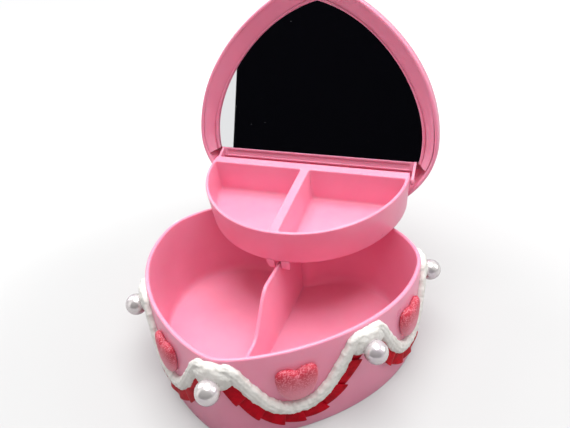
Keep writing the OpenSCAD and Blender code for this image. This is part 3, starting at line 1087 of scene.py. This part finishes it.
@dataclass
class Lid:
    """The lid: its shell, the frame round the mirror, the mirror and the tray's bracket."""

    heart: HeartLine
    hinge: Hinge
    rim_z: float = 49.5
    height: float = 15.6
    wall: float = 2.2
    top_t: float = 2.0
    edge: float = 1.0
    crown_r: float = 4.5
    mirror_depth: float = 8.0
    bar_y: float = 33.1
    bar_h: float = 5.4
    bar_proud: float = 0.8
    ear_in: float = 61.85
    ear_out: float = 63.4
    ear_r: float = 2.4
    pivot_front: float = 25.3
    pivot_up: float = 3.2
    pin_bore_r: float = 1.08
    stub_bore_r: float = 1.38

    def shell_rings(self) -> list[Ring]:
        """Gives the shell's rings, closed: the crowned top, the side, the rim, the inside."""
        line, top = self.heart.whole(), self.rim_z + self.height
        rings = []
        for k in range(9):
            angle = math.radians(90 * (1 - k / 8))
            depth = self.crown_r * (1 - math.cos(angle))
            rings.append(at_height(inset(line, depth),
                                   top - 0.5 - self.crown_r * (1 - math.sin(angle))))
        for share, drop in ((0.02, 0.2), (0.3, 0.05)):
            crown = mix_points(inset(line, 6.5), [(0.0, 0.0)] * len(line), share)
            rings.insert(0, at_height(crown, top - drop))
        rings.append(at_height(line, self.rim_z + self.height / 3))
        for k in range(9):
            angle = math.radians(180 * k / 8)
            depth = self.edge * (1 - math.cos(angle)) + (self.wall - 2 * self.edge) * (k > 4)
            rings.append(at_height(inset(line, depth),
                                   self.rim_z + self.edge * (1 - math.sin(angle))))
        inner_top = self.rim_z + self.height - self.top_t
        for depth, share in ((2.35, 0.3), (3.1, 0.6), (4.0, 0.85), (4.8, 0.95), (5.8, 1.0),
                             (7.5, 1.0)):
            z = mix(self.rim_z + self.edge, inner_top, share)
            rings.append(at_height(inset(line, depth), z))
        return rings

    def build_shell(self) -> Piece:
        """Builds the shell with its two hinge lugs, swung open."""
        shell = loft("lid_cover", self.shell_rings())
        at, half = self.hinge.axis, self.hinge.lid_knuckle / 2
        for x in self.hinge.centres():
            lug = block("lug", (x - half, at.y - self.wall + 0.2, at.z), (x + half, at.y - 0.02,
                                                                        self.rim_z + self.wall))
            combine(lug, rod("knuckle", self.hinge.knuckle_r, x - half, x + half, at.y, at.z),
                    Join.WELD)
            combine(shell, lug, Join.WELD)
            bore = rod("bore", self.pin_bore_r, x - half - 1, x + half + 1, at.y, at.z, chamfer=0.01)
            combine(shell, bore, Join.CUT)
        return smooth(moved(outwards(shell), self.hinge.swing()), 38)

    def frame_stations(self) -> list[tuple[Flat, Flat]]:
        """Gives the frame's path on the right half: the rim's point and the mirror's at each."""
        outer, side = self.heart.arcs()[0], self.heart.arcs()[1]
        mirror = [(0.0, -56.6), (39.0, -46.6), (65.5, -5.4), (65.5, 21.6)]
        corner = [(65.5, 21.6), (65.5, 26.5), (65.3, 29.5), (64.5, 33.2)]
        stations = [(bezier(outer, k / 40), bezier(mirror, k / 40)) for k in range(40)]
        reach = 0.2
        stations += [(bezier(side, reach * k / 8), bezier(corner, k / 8)) for k in range(9)]
        return stations

    def frame_section(self, rim: Flat, glass: Flat) -> Ring:
        """Gives the frame's section between a rim point and a mirror point, closed lid."""
        way = Vector(glass) - Vector(rim)
        length = way.length
        low, deep = self.rim_z + 0.75, self.rim_z + self.mirror_depth
        shape = [(2.5, low + 0.2), (2.75, low), (3.2, low + 0.05), (4.6, low + 0.9),
                 (mix(4.6, length, 0.5), mix(low + 0.9, deep - 0.9, 0.56)),
                 (length - 2.1, deep - 1.0), (length - 1.75, deep - 1.55),
                 (length - 1.1, deep - 1.8), (length - 0.45, deep - 1.65),
                 (length, deep - 1.1), (length, deep - 0.25), (length - 0.3, deep - 0.03),
                 (length - 1.5, deep - 0.03), (length - 1.6, deep + 2.6), (5.6, deep + 5.2),
                 (4.2, deep + 4.4), (2.6, deep - 3.0)]
        ring = []
        for out, z in shape:
            spot = Vector(rim) + way * (out / length)
            ring.append((spot.x, spot.y, z))
        return ring

    def build_frame(self) -> Piece:
        """Builds the sloping frame from one end, round the tip, to the other."""
        right = self.frame_stations()
        left = [((-rim[0], rim[1]), (-glass[0], glass[1])) for rim, glass in right[:0:-1]]
        rings = [self.frame_section(rim, glass) for rim, glass in left + right]
        piece = loft("mirror_surround", rings)
        return smooth(moved(outwards(piece), self.hinge.swing()), 30)

    def bracket_profile(self) -> list[Flat]:
        """Gives an ear's outline in the YZ plane: from the bar to the rounded pivot end."""
        pivot_y, pivot_z = self.hinge.axis.y - self.pivot_front, self.hinge.axis.z + self.pivot_up
        arm_y, arm_z = self.bar_y + self.bar_h / 2, self.rim_z + self.mirror_depth
        along = Vector((arm_y - pivot_y, arm_z - pivot_z)).normalized()
        aside = Vector((-along.y, along.x))
        tip, root = Vector((pivot_y, pivot_z)), Vector((arm_y, arm_z)) + along * 2.0
        arc = [math.radians(90 + 180 * k / 12) for k in range(13)]
        points = [tip + (along * math.cos(a) + aside * math.sin(a)) * self.ear_r for a in arc]
        points += [root - aside * self.ear_r, root + aside * self.ear_r]
        return [tuple(p) for p in points]

    def build_bracket(self) -> Piece:
        """Builds the bar along the mirror with the two ears that carry the tray."""
        front = self.rim_z + self.mirror_depth - self.bar_proud
        bar = block("tray_carrier", (-self.ear_out, self.bar_y, front),
                    (self.ear_out, self.bar_y + self.bar_h, front + 6.2))
        groove = block("groove", (-self.ear_in + 2.4, self.bar_y + 1.2, front - 1),
                       (self.ear_in - 2.4, self.bar_y + self.bar_h - 0.8, front + 0.45))
        combine(bar, groove, Join.CUT)
        for x in (-self.ear_out, self.ear_in):
            profile = self.bracket_profile()
            ear = loft("ear", [[(x + w, y, z) for y, z in profile]
                               for w in (0.0, self.ear_out - self.ear_in)])
            combine(bar, ear, Join.WELD)
        pivot_y, pivot_z = self.hinge.axis.y - self.pivot_front, self.hinge.axis.z + self.pivot_up
        for x in (-self.ear_out, self.ear_in):
            bore = rod("bore", self.stub_bore_r, x - 1, x + 3, pivot_y, pivot_z, chamfer=0.01)
            combine(bar, bore, Join.CUT)
        soften(outwards(bar), 0.28)
        return smooth(moved(bar, self.hinge.swing()), 35)

    def build(self, finishes: Finishes) -> None:
        """Builds and dresses the lid's pieces."""
        dress(self.build_shell(), finishes.plastic, "lid", "pink_plastic", "lid_shell")
        dress(self.build_frame(), finishes.plastic, "lid", "pink_plastic", "mirror_frame")
        dress(self.build_bracket(), finishes.plastic, "lid", "pink_plastic", "tray_bracket")
        paint_node("mirror_glass", finishes.mirror)
        paint_node("mirror_pads", finishes.foam)


@dataclass
class Tray:
    """The two-compartment tray, drawn level with the middle of its back edge at the origin."""

    width: float = 122.6
    depth: float = 65.6
    height: float = 22.4
    wall: float = 2.0
    flange: float = 6.8
    rib: float = 5.6
    slot_half: float = 1.6
    fork_half: float = 1.9
    tab_w: float = 5.0
    tab_h: float = 4.0
    tilt: float = 9.4
    pivot_down: float = 6.9
    pivot_back: float = 1.4
    stub_r: float = 1.3
    lug_r: float = 2.4
    stub_x: float = 63.8
    edge: float = 0.8
    foot_r: float = 2.4
    draft: float = 0.9
    corner_w: float = 13.5
    corner_h: float = 13.0

    def front_arc(self, depth: float) -> list[Flat]:
        """Gives the right half of the curved front as a cubic, moved in by depth."""
        wide, half, front = self.width - 2 * depth, self.width / 2 - depth, depth - self.depth
        return [(0.0, front), (0.34 * wide, front), (0.527 * wide, 0.416 * front), (half, -depth)]

    def outline(self, depth: float = 0.0, count: int = 48) -> list[Flat]:
        """Gives the tray's outline moved in by depth, anticlockwise from the front's middle."""
        arc = self.front_arc(depth)
        right = curve(arc, count) + [arc[3]]
        return right + [(-x, y) for x, y in right[:0:-1]]

    def build_block(self) -> Piece:
        """Builds the outer block with its round foot, its draft and its soft rim."""
        rings = []
        for k in range(7):
            angle = math.radians(90 * k / 6)
            rings.append((self.draft + self.foot_r * (1 - math.sin(angle)),
                          self.foot_r * (1 - math.cos(angle))))
        rings += [(self.draft / 2, self.height / 2)]
        for k in range(5):
            angle = math.radians(90 * k / 4)
            rings.append((self.edge * (1 - math.cos(angle)),
                          self.height - self.edge * (1 - math.sin(angle))))
        return loft("swing_tray", [at_height(self.outline(depth), z) for depth, z in rings])

    def room_outline(self, sign: int, depth: float, count: int = 30) -> list[Flat]:
        """Gives one compartment's outline moved in by depth, anticlockwise."""
        near, rear = self.rib / 2 + depth, -self.flange - depth
        arc = self.front_arc(self.wall + depth)
        ways = [k / 400 for k in range(401)]
        first = next(t for t in ways if bezier(arc, t)[0] >= near)
        last = next(t for t in ways if bezier(arc, t)[1] >= rear)
        points = [bezier(arc, mix(first, last, k / count)) for k in range(count + 1)]
        points[0], points[-1] = (near, points[0][1]), (points[-1][0], rear)
        points.append((near, rear))
        points = [(sign * x, y) for x, y in rounded(points, 1.7)]
        return points if sign > 0 else points[::-1]

    def cut_room(self, tray: Piece, sign: int) -> None:
        """Cuts one compartment: a flared mouth, drafted walls and a filleted floor."""
        radius, top, lean = 2.0, self.height, 0.6
        steps = [(-0.5, top + 0.3), (-0.35, top - 0.05), (-0.1, top - 0.3), (0.0, top - 0.7),
                 (lean, self.wall + radius)]
        for k in range(1, 7):
            angle = math.radians(90 * k / 6)
            steps.append((lean + radius * (1 - math.cos(angle)),
                          self.wall + radius * (1 - math.sin(angle))))
        rings = [at_height(self.room_outline(sign, depth), z) for depth, z in steps]
        combine(tray, loft("room", rings), Join.CUT)

    def cut_underside(self, tray: Piece) -> None:
        """Cuts the hollows of the rib and of the back flange, and the slanted rear corners."""
        top = self.height - self.wall
        half = self.width / 2
        combine(tray, block("rib_hollow", (-self.slot_half, self.wall - self.depth, -1),
                            (self.slot_half, 1, top)), Join.CUT)
        combine(tray, block("flange_hollow", (8 - half, self.wall - self.flange, -1),
                            (half - 8, 1, top)), Join.CUT)
        for sign in (-1, 1):
            shape = [(half - self.corner_w, -1), (half + 1, -1), (half + 1, self.corner_h),
                     (half, self.corner_h), (half - self.corner_w, 0)]
            rings = [[(sign * x, y, z) for x, z in shape] for y in (self.wall - self.flange, 1)]
            combine(tray, loft("corner", rings), Join.CUT)

    def add_fork(self, tray: Piece) -> None:
        """Welds on the two tabs that straddle the divider: one slanted, one round-cornered."""
        front = min(p[1] for p in self.outline()) + 0.7
        for sign in (-1, 1):
            near, far = self.fork_half, self.fork_half + self.tab_w
            slant = 1.6 if sign < 0 else 0.0
            shape = rounded([(near, 1.5), (near, -self.tab_h), (far - slant, -self.tab_h),
                             (far, 1.5)], 1.0, 4)
            rings = [[(sign * x, y, z) for x, z in shape] for y in (front, front + 1.7)]
            combine(tray, soften(outwards(loft("tab", rings)), 0.25, 2), Join.WELD)

    def add_stubs(self, tray: Piece) -> None:
        """Welds on the lugs and the stub axles that turn in the ears."""
        y, z = self.pivot_back, self.height - self.pivot_down
        for sign in (-1, 1):
            inner, outer = self.width / 2 - 2.2, self.width / 2
            lug = rod("lug", self.lug_r, *sorted((sign * inner, sign * outer)), y, z)
            combine(tray, lug, Join.WELD)
            low, high = sorted((sign * inner, sign * outer))
            combine(tray, block("web", (low, -3.0, z - self.lug_r), (high, y, z + self.lug_r)),
                    Join.WELD)
            stub = rod("stub", self.stub_r, *sorted((sign * inner, sign * self.stub_x)), y, z)
            combine(tray, stub, Join.WELD)

    def build(self, finishes: Finishes) -> None:
        """Builds and dresses the tray, tipped about its pivot."""
        tray = self.build_block()
        self.cut_underside(tray)
        for sign in (-1, 1):
            self.cut_room(tray, sign)
        self.add_fork(tray)
        self.add_stubs(tray)
        pivot = Vector(joint_row("tray_pivot")["pos_m"])
        to_pivot = Matrix.Translation(Vector((0, -self.pivot_back, self.pivot_down - self.height))
                                      * MM)
        tip = Matrix.Rotation(math.radians(self.tilt), 4, "X")
        moved(outwards(tray), Matrix.Translation(pivot) @ tip @ to_pivot)
        dress(smooth(tray, 34), finishes.plastic, "tray", "pink_plastic", "tray")


@dataclass
class Trim:
    """The cake-style trim: piped swags, pleated ribbon, sugared hearts and pearls."""

    heart: HeartLine
    stops: tuple[float, ...] = (0.0, 0.31, 0.6, 0.87)
    top_z: float = 44.5
    low_z: float = 16.5
    stand_off: float = 0.1
    rope_w: float = 6.6
    rope_t: float = 3.1
    ridge_pitch: float = 3.4
    ribbon_w: float = 10.2
    ribbon_top: float = 1.4
    ribbon_reach: float = 0.8
    pleat: float = 6.9
    pearl_r: float = 5.6
    pearl_z: float = 37.0
    pearl_out: float = 6.7
    mound_z: float = 41.0
    mound_w: float = 19.6
    mound_up: float = 6.8
    mound_down: float = 8.2
    mound_t: float = 4.6
    candy_w: float = 19.4
    candy_t: float = 4.0
    candy_z: float = 31.2

    def span(self, swag: Swag) -> tuple[float, float]:
        """Gives where a swag starts and ends, as distances along the outline."""
        total = self.heart.travel()[-1]
        return self.stops[swag.value] * total, self.stops[swag.value + 1] * total

    def hang(self, u: float) -> float:
        """Gives the swag's height at u, from -1 to 1: a deep U with broad shoulders."""
        t = min(1.0, abs(u) / 0.84)
        return mix(self.low_z, self.top_z, 1 - (1 - t**2.5) ** 1.55)

    def wall_spot(self, distance: float, out: float, z: float) -> Spot:
        """Gives a point at a distance along the outline, out from the wall, at height z."""
        point, heading = self.heart.at(distance)
        normal = Vector((heading.y, -heading.x))
        spot = point + normal * out
        return (spot.x, spot.y, z)

    def frame_at(self, swag: Swag, u: float) -> tuple[float, float, Flat]:
        """Gives a swag's centre line at u.

        Args:
            swag: Which swag.
            u: From -1 at its start to 1 at its end.

        Returns:
            The distance along the outline, the height, and the direction across the line as
            shares along the wall and up.
        """
        start, end = self.span(swag)
        step = 0.01
        rise = (self.hang(u + step) - self.hang(u - step)) / (step * (end - start))
        size = math.hypot(rise, 1)
        return mix(start, end, (u + 1) / 2), self.hang(u), (-rise / size, 1 / size)

    def rope_ring(self, swag: Swag, u: float, sides: int = 26) -> Ring:
        """Gives the rope's section at u: flat on the wall, domed, with strokes and scallops."""
        distance, z, across = self.frame_at(swag, u)
        turn = math.tau * distance / self.ridge_pitch
        end = max(0.0, (abs(u) - 0.975) / 0.025)
        size = math.sqrt(max(0.5, 1 - end * end))
        ring = []
        for k in range(sides):
            angle = math.tau * k / sides
            side = math.cos(angle)
            drift = 0.04 * math.sin(0.43 * turn + 1.0)
            scallop = 1.04 - 0.15 * abs(math.sin(turn / 2 + 1.1 * side)) + drift
            reach = side * self.rope_w / 2 * scallop * size
            dome = max(0.0, math.sin(angle)) ** 0.5
            stroke = 0.20 * math.sin(11.0 * side + 0.22 * turn) * dome
            wave = 0.11 * math.sin(turn + 2.2 * side) * dome
            low = -0.25 if math.sin(angle) < 0 else 0.0
            out = self.stand_off + low + (self.rope_t * dome * size + stroke + wave) * size
            ring.append(self.wall_spot(distance + across[0] * reach, max(-0.3, out),
                                       z + across[1] * reach))
        return ring

    def dollop_ring(self, centre: float, share: float, count: int = 36) -> Ring:
        """Gives one ring of the mound of paste behind a pearl, share 0 at the wall."""
        angle = share * math.pi / 2
        ring = []
        for k in range(count):
            turn = math.tau * k / count
            lobes = 1 + 0.05 * math.sin(5 * turn + centre) + 0.04 * math.sin(9 * turn + 2 * centre)
            spread = lobes * math.cos(angle) ** 0.6
            wide = self.mound_w / 2 * spread
            tall = (self.mound_up if math.sin(turn) > 0 else self.mound_down) * spread
            swirl = 0.35 * math.sin(3 * turn + 7 * share) * math.cos(angle)
            out = self.stand_off - 0.3 + self.mound_t * math.sin(angle) + swirl * (share > 0)
            ring.append(self.wall_spot(centre + wide * math.cos(turn), out,
                                       self.mound_z + tall * math.sin(turn)))
        return ring

    def build_dollop(self, centre: float) -> Piece:
        """Builds the mound of paste that holds one pearl."""
        return loft("dollop", [self.dollop_ring(centre, k / 9 * 0.985) for k in range(10)])

    def build_rope(self, swag: Swag) -> Piece:
        """Builds one piped swag with the mounds at its ends, as one skin."""
        start, end = self.span(swag)
        count = round((end - start) / 0.62)
        rings = [self.rope_ring(swag, mix(-0.995, 0.995, k / count)) for k in range(count + 1)]
        rope = loft("rope", rings)
        mounds = [self.build_dollop(end)]
        if swag is Swag.FRONT:
            mounds.append(self.build_dollop(start))
        join_loose(rope, mounds)
        apply_modifier(rope, "REMESH", mode="VOXEL", voxel_size=0.36 * MM, adaptivity=0.0)
        apply_modifier(rope, "SMOOTH", factor=0.5, iterations=2)
        pulls = bpy.data.textures.new("paste_pulls", "CLOUDS")
        pulls.noise_scale, pulls.noise_depth = 1.5 * MM, 2
        apply_modifier(rope, "DISPLACE", texture=pulls, strength=0.55 * MM, mid_level=0.5,
                       texture_coords="LOCAL")
        return rope

    def ribbon_columns(self, swag: Swag) -> list[Ring]:
        """Gives the knife-pleated ribbon's columns, each from its top edge to its lower edge."""
        start, end = self.span(swag)
        reach = self.ribbon_reach
        length = reach * (end - start)
        pleats = round(length / self.pleat)
        step = length / pleats
        fold = [(0.00, 0.45, 0.0), (0.30, 0.95, 0.25), (0.62, 1.45, 0.6), (0.95, 1.85, 0.95),
                (1.10, 1.98, 1.0), (1.17, 1.80, 1.0), (1.14, 1.55, 1.0), (1.02, 1.30, 0.8),
                (0.88, 0.95, 0.5), (0.80, 0.60, 0.2), (0.84, 0.42, 0.1)]
        rows = 6
        columns = []
        for pleat in range(pleats):
            for along, out, drop in fold:
                column = []
                for row in range(rows + 1):
                    share = row / rows
                    fan = 0.16 * share * drop
                    s = (pleat + along + fan) * step
                    u = reach * (2 * s / length - 1)
                    distance, z, across = self.frame_at(swag, max(-0.99, min(0.99, u)))
                    low = mix(self.ribbon_top, self.ribbon_top - self.ribbon_w - 0.9 * drop, share)
                    lift = out * (0.72 + 0.34 * share)
                    column.append(self.wall_spot(distance + across[0] * low,
                                                 self.stand_off + 0.15 + lift,
                                                 z + across[1] * low))
                columns.append(column)
        return columns

    def candy_point(self, turn: float, size: float) -> Flat:
        """Gives a point of the sweet's plump heart outline."""
        power = 1.3 if math.cos(turn) > 0 else -0.14
        x = math.sin(turn) * max(1e-6, abs(math.sin(turn))) ** power
        y = (12.4 * math.cos(turn) - 3.9 * math.cos(2 * turn) - 1.4 * math.cos(3 * turn)) / 14.6
        return (x * size * self.candy_w / 2, (1.12 * y + 0.18) * size * self.candy_w / 2)

    def build_candy(self, swag: Swag) -> Piece:
        """Builds one sugared heart, bent to the wall that it sits on."""
        start, end = self.span(swag)
        middle = (start + end) / 2
        layers = [(0.95, 0.0), (0.99, 0.35), (1.0, 0.8), (0.985, 1.3), (0.945, 1.8),
                  (0.87, 2.25), (0.76, 2.6), (0.60, 2.83), (0.38, 2.95), (0.14, 3.0)]
        rings = []
        for size, out in layers:
            ring = []
            for k in range(72):
                x, y = self.candy_point(math.tau * k / 72, size)
                ring.append(self.wall_spot(middle + x, self.stand_off + out * self.candy_t / 3,
                                           self.candy_z + y))
            rings.append(ring)
        candy = outwards(loft("candy", rings))
        apply_modifier(candy, "REMESH", mode="VOXEL", voxel_size=0.30 * MM, adaptivity=0.0)
        sugar = bpy.data.textures.new("sugar_grains", "CLOUDS")
        sugar.noise_scale = 0.45 * MM
        apply_modifier(candy, "DISPLACE", texture=sugar, strength=0.08 * MM, mid_level=0.5,
                       texture_coords="LOCAL")
        return candy

    def build_pearl(self) -> Piece:
        """Builds a half-drilled pearl at the origin, its hole towards +Y."""
        clear_selection()
        bpy.ops.mesh.primitive_uv_sphere_add(segments=48, ring_count=32,
                                             radius=self.pearl_r * MM,
                                             rotation=(math.pi / 2, 0, 0))
        pearl = named(bpy.context.object, "pearl_master")
        settle(pearl)
        pick(pearl)
        bpy.ops.object.mode_set(mode="EDIT")
        bpy.ops.mesh.select_mode(type="FACE")
        bpy.ops.mesh.select_all(action="DESELECT")
        work = bmesh.from_edit_mesh(pearl.data)
        for face in work.faces:
            face.select = face.calc_center_median().y > self.pearl_r * MM * 0.985
        bmesh.update_edit_mesh(pearl.data)
        bpy.ops.mesh.inset(thickness=0.12 * MM, depth=-0.05 * MM)
        bpy.ops.mesh.extrude_region_move(TRANSFORM_OT_translate={"value": (0, -1.6 * MM, 0)})
        bpy.ops.object.mode_set(mode="OBJECT")
        return outwards(pearl)

    def pearl_matrix(self, distance: float) -> Matrix:
        """Gives the turn and place that set a pearl on the wall, its hole towards it."""
        _, heading = self.heart.at(distance)
        if distance == 0:
            heading = Vector((1, 0))
        normal = Vector((heading.y, -heading.x))
        point = Vector(self.heart.at(distance)[0]) + normal * self.pearl_out
        place = Matrix.Translation(Vector((point.x, point.y, self.pearl_z)) * MM)
        return place @ Matrix.Rotation(math.atan2(normal.x, -normal.y), 4, "Z")

    def dress_pair(self, piece: Piece, word: str, swag: Swag, finish: bpy.types.Material,
                   slot: str) -> list[Piece]:
        """Dresses a right-hand piece and its mirrored twin.

        Args:
            piece: The right-hand piece.
            word: What the nodes call it.
            swag: The swag that it belongs to.
            finish: Its material.
            slot: The record's material slot.

        Returns:
            Both pieces, the right-hand one first.
        """
        nodes = {side: f"{word}_{swag.word}_{side.word}" for side in Side}
        other = twin(piece, f"trim_{nodes[Side.LEFT]}", flip=True)
        named(piece, f"trim_{nodes[Side.RIGHT]}")
        dress(piece, finish, "box", slot, nodes[Side.RIGHT])
        dress(other, finish, "box", slot, nodes[Side.LEFT])
        return [piece, other]

    def build_ribbon(self, swag: Swag, finishes: Finishes) -> None:
        """Builds and dresses a pair of pleated ribbons."""
        columns = self.ribbon_columns(swag)
        ribbon = sheet_grid("ribbon", columns)
        apply_modifier(ribbon, "SOLIDIFY", thickness=0.22 * MM, offset=0.0)
        apply_modifier(ribbon, "SUBSURF", levels=1, render_levels=1)
        smooth(outwards(ribbon), 60)
        for piece in self.dress_pair(ribbon, "ruffle", swag, finishes.ribbon, "red_ruffle"):
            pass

    def build(self, finishes: Finishes) -> None:
        """Builds and dresses all of the trim."""
        for swag in Swag:
            rope = smooth(outwards(self.build_rope(swag)), 60)
            self.dress_pair(rope, "piping", swag, finishes.paste, "white_piping")
            candy = smooth(outwards(self.build_candy(swag)), 80)
            self.dress_pair(candy, "sugar_heart", swag, finishes.sugar, "sugar")
        for swag in Swag:
            self.build_ribbon(swag, finishes)
        master = smooth(self.build_pearl(), 40)
        for swag in Swag:
            pearl = moved(twin(master, "pearl"), self.pearl_matrix(self.span(swag)[1]))
            self.dress_pair(pearl, "pearl", swag, finishes.nacre, "pearl")
        moved(named(master, "trim_pearl_tip"), self.pearl_matrix(0.0))
        dress(master, finishes.nacre, "box", "pearl", "pearl_tip")


# ---------- studio ----------


@dataclass
class Studio:
    """White floor, soft lights, and the camera in front of the box's right side."""

    target: Vector = field(default_factory=lambda: Vector((4.06, 18.48, 72.09)))
    azimuth: float = 21.57
    elevation: float = 29.59
    distance: float = 274.41
    roll: float = -4.09
    lens: float = 32.85
    sensor: float = 36.0
    card_y: float = -260.0
    card_h: float = 420.0
    card_split: float = -217.0

    def build_camera(self) -> None:
        """Places the camera."""
        a, e = math.radians(self.azimuth), math.radians(self.elevation)
        back = Vector((math.sin(a) * math.cos(e), -math.cos(a) * math.cos(e), math.sin(e)))
        right = Vector((0, 0, 1)).cross(back).normalized()
        turn = Matrix((right, back.cross(right), back)).transposed().to_4x4()
        data = bpy.data.cameras.new("camera")
        data.lens, data.sensor_width = self.lens, self.sensor
        data.clip_start = 0.01
        camera = bpy.data.objects.new("camera", data)
        bpy.context.scene.collection.objects.link(camera)
        place = Matrix.Translation((self.target + back * self.distance) * MM)
        camera.matrix_world = place @ turn @ Matrix.Rotation(math.radians(self.roll), 4, "Z")
        bpy.context.scene.camera = camera

    def plain_material(self, name: str, color: Tint,
                       rough: float) -> bpy.types.Material:
        """Makes a faintly clouded stage material."""
        material = bpy.data.materials.new(name)
        material.use_nodes = True
        graph = Graph(material.node_tree)
        shader = material.node_tree.nodes["Principled BSDF"]
        shader.inputs["Roughness"].default_value = rough
        shader.inputs["Specular IOR Level"].default_value = 0.0
        cloud = graph.node("ShaderNodeTexNoise", Scale=3.0)
        shade = graph.blend(cloud.outputs["Fac"], color, tuple(c * 0.99 for c in color[:3]) + (1,))
        graph.feed(shader.inputs["Base Color"], shade)
        return material

    def build_floor(self) -> None:
        """Lays the white floor, which glows for the camera only, less near the box and more away
        from it: painted light that whitens the open floor, and painted shade close to the box.
        """
        clear_selection()
        bpy.ops.mesh.primitive_plane_add(size=8.0, location=(0, 0, -0.0001))
        floor = named(bpy.context.object, "floor")
        white = self.plain_material("floor_painted_light", (0.40, 0.40, 0.40, 1), 0.9)
        shader = white.node_tree.nodes["Principled BSDF"]
        shader.inputs["Emission Color"].default_value = (1, 1, 1, 1)
        graph = Graph(white.node_tree)
        seen = graph.node("ShaderNodeLightPath").outputs["Is Camera Ray"]
        place = graph.node("ShaderNodeTexCoord").outputs["Object"]
        away = graph.node("ShaderNodeVectorMath", {"operation": "LENGTH"}, Vector=place)
        # Painted light: a glow that only the camera sees, rising with distance from the box, so the
        # floor near the box is left as painted shade.
        glow = graph.remap(away.outputs["Value"], 0.14, 0.42, 0.24, 0.75)
        graph.feed(shader.inputs["Emission Strength"], graph.math("MULTIPLY", seen, glow))
        floor.data.materials.append(white)

    def build_card(self, name: str, x0: float, x1: float, glow: float) -> None:
        """Stands a card behind the camera that only reflections see.

        Args:
            name: The card's name.
            x0: Its left end, in millimetres.
            x1: Its right end, in millimetres.
            glow: How bright it shines.
        """
        clear_selection()
        bpy.ops.mesh.primitive_plane_add(size=1.0)
        card = named(bpy.context.object, name)
        card.scale = ((x1 - x0) * MM, self.card_h * MM, 1)
        card.rotation_euler = (math.pi / 2, 0, 0)
        card.location = Vector(((x0 + x1) / 2, self.card_y, self.card_h / 2)) * MM
        finish = self.plain_material(name, (0.002, 0.002, 0.003, 1), 1)
        shader = finish.node_tree.nodes["Principled BSDF"]
        shader.inputs["Emission Color"].default_value = (1, 1, 1, 1)
        shader.inputs["Emission Strength"].default_value = glow
        card.data.materials.append(finish)
        card.visible_camera = card.visible_diffuse = card.visible_shadow = False
        card.visible_transmission = card.visible_volume_scatter = False

    def add_light(self, name: str, place: Spot, size: Flat, watts: float) -> None:
        """Hangs a rectangular soft light that points at the box.

        Args:
            name: The light's name.
            place: Where it hangs, in millimetres.
            size: Its width and height, in millimetres.
            watts: Its power.
        """
        data = bpy.data.lights.new(name, "AREA")
        data.shape, data.size, data.size_y = "RECTANGLE", size[0] * MM, size[1] * MM
        data.energy = watts
        light = bpy.data.objects.new(name, data)
        light.location = Vector(place) * MM
        aim = Vector((0, 20, 50)) * MM - light.location
        light.rotation_euler = aim.to_track_quat("-Z", "Y").to_euler()
        bpy.context.scene.collection.objects.link(light)

    def build_lights(self) -> None:
        """Hangs the soft lights and sets a surround that is bright above and dim in front."""
        self.add_light("overhead", (30, 60, 900), (800, 600), 9.6)
        self.add_light("left_box", (-800, 160, 560), (500, 600), 2.4)
        self.add_light("right_box", (820, 260, 520), (500, 600), 2.0)
        world = bpy.data.worlds.new("surround")
        world.use_nodes = True
        graph = Graph(world.node_tree)
        way = graph.node("ShaderNodeTexCoord").outputs["Generated"]
        parts = graph.node("ShaderNodeSeparateXYZ", Vector=way).outputs
        lean = graph.math("ADD", parts["Z"], graph.math("MULTIPLY", parts["Y"], 0.2))
        strength = graph.remap(lean, -0.2, 1.0, 0.17, 0.72)
        seen = graph.node("ShaderNodeLightPath").outputs["Is Camera Ray"]
        graph.feed(world.node_tree.nodes["Background"].inputs["Strength"],
                   graph.math("MAXIMUM", strength, seen))
        world.node_tree.nodes["Background"].inputs["Color"].default_value = (1, 1, 1, 1)
        bpy.context.scene.world = world
        bpy.context.scene.view_settings.view_transform = "Standard"

    def build(self) -> None:
        """Sets up the whole studio."""
        self.build_camera()
        self.build_floor()
        self.build_card("dark_card", self.card_split, 460, 0.0)
        self.build_card("white_card", -800, self.card_split, 0.85)
        self.build_lights()


def main() -> None:
    """Builds the studio and the box."""
    logging.basicConfig(level=logging.INFO, format="%(name)s: %(message)s")
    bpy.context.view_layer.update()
    Studio().build()
    heart, hinge, finishes = HeartLine(), Hinge(), Finishes()
    Tub(heart, hinge).build(finishes)
    Lid(heart, hinge).build(finishes)
    Tray().build(finishes)
    Trim(heart).build(finishes)
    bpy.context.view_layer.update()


if __name__ == "__main__":
    main()
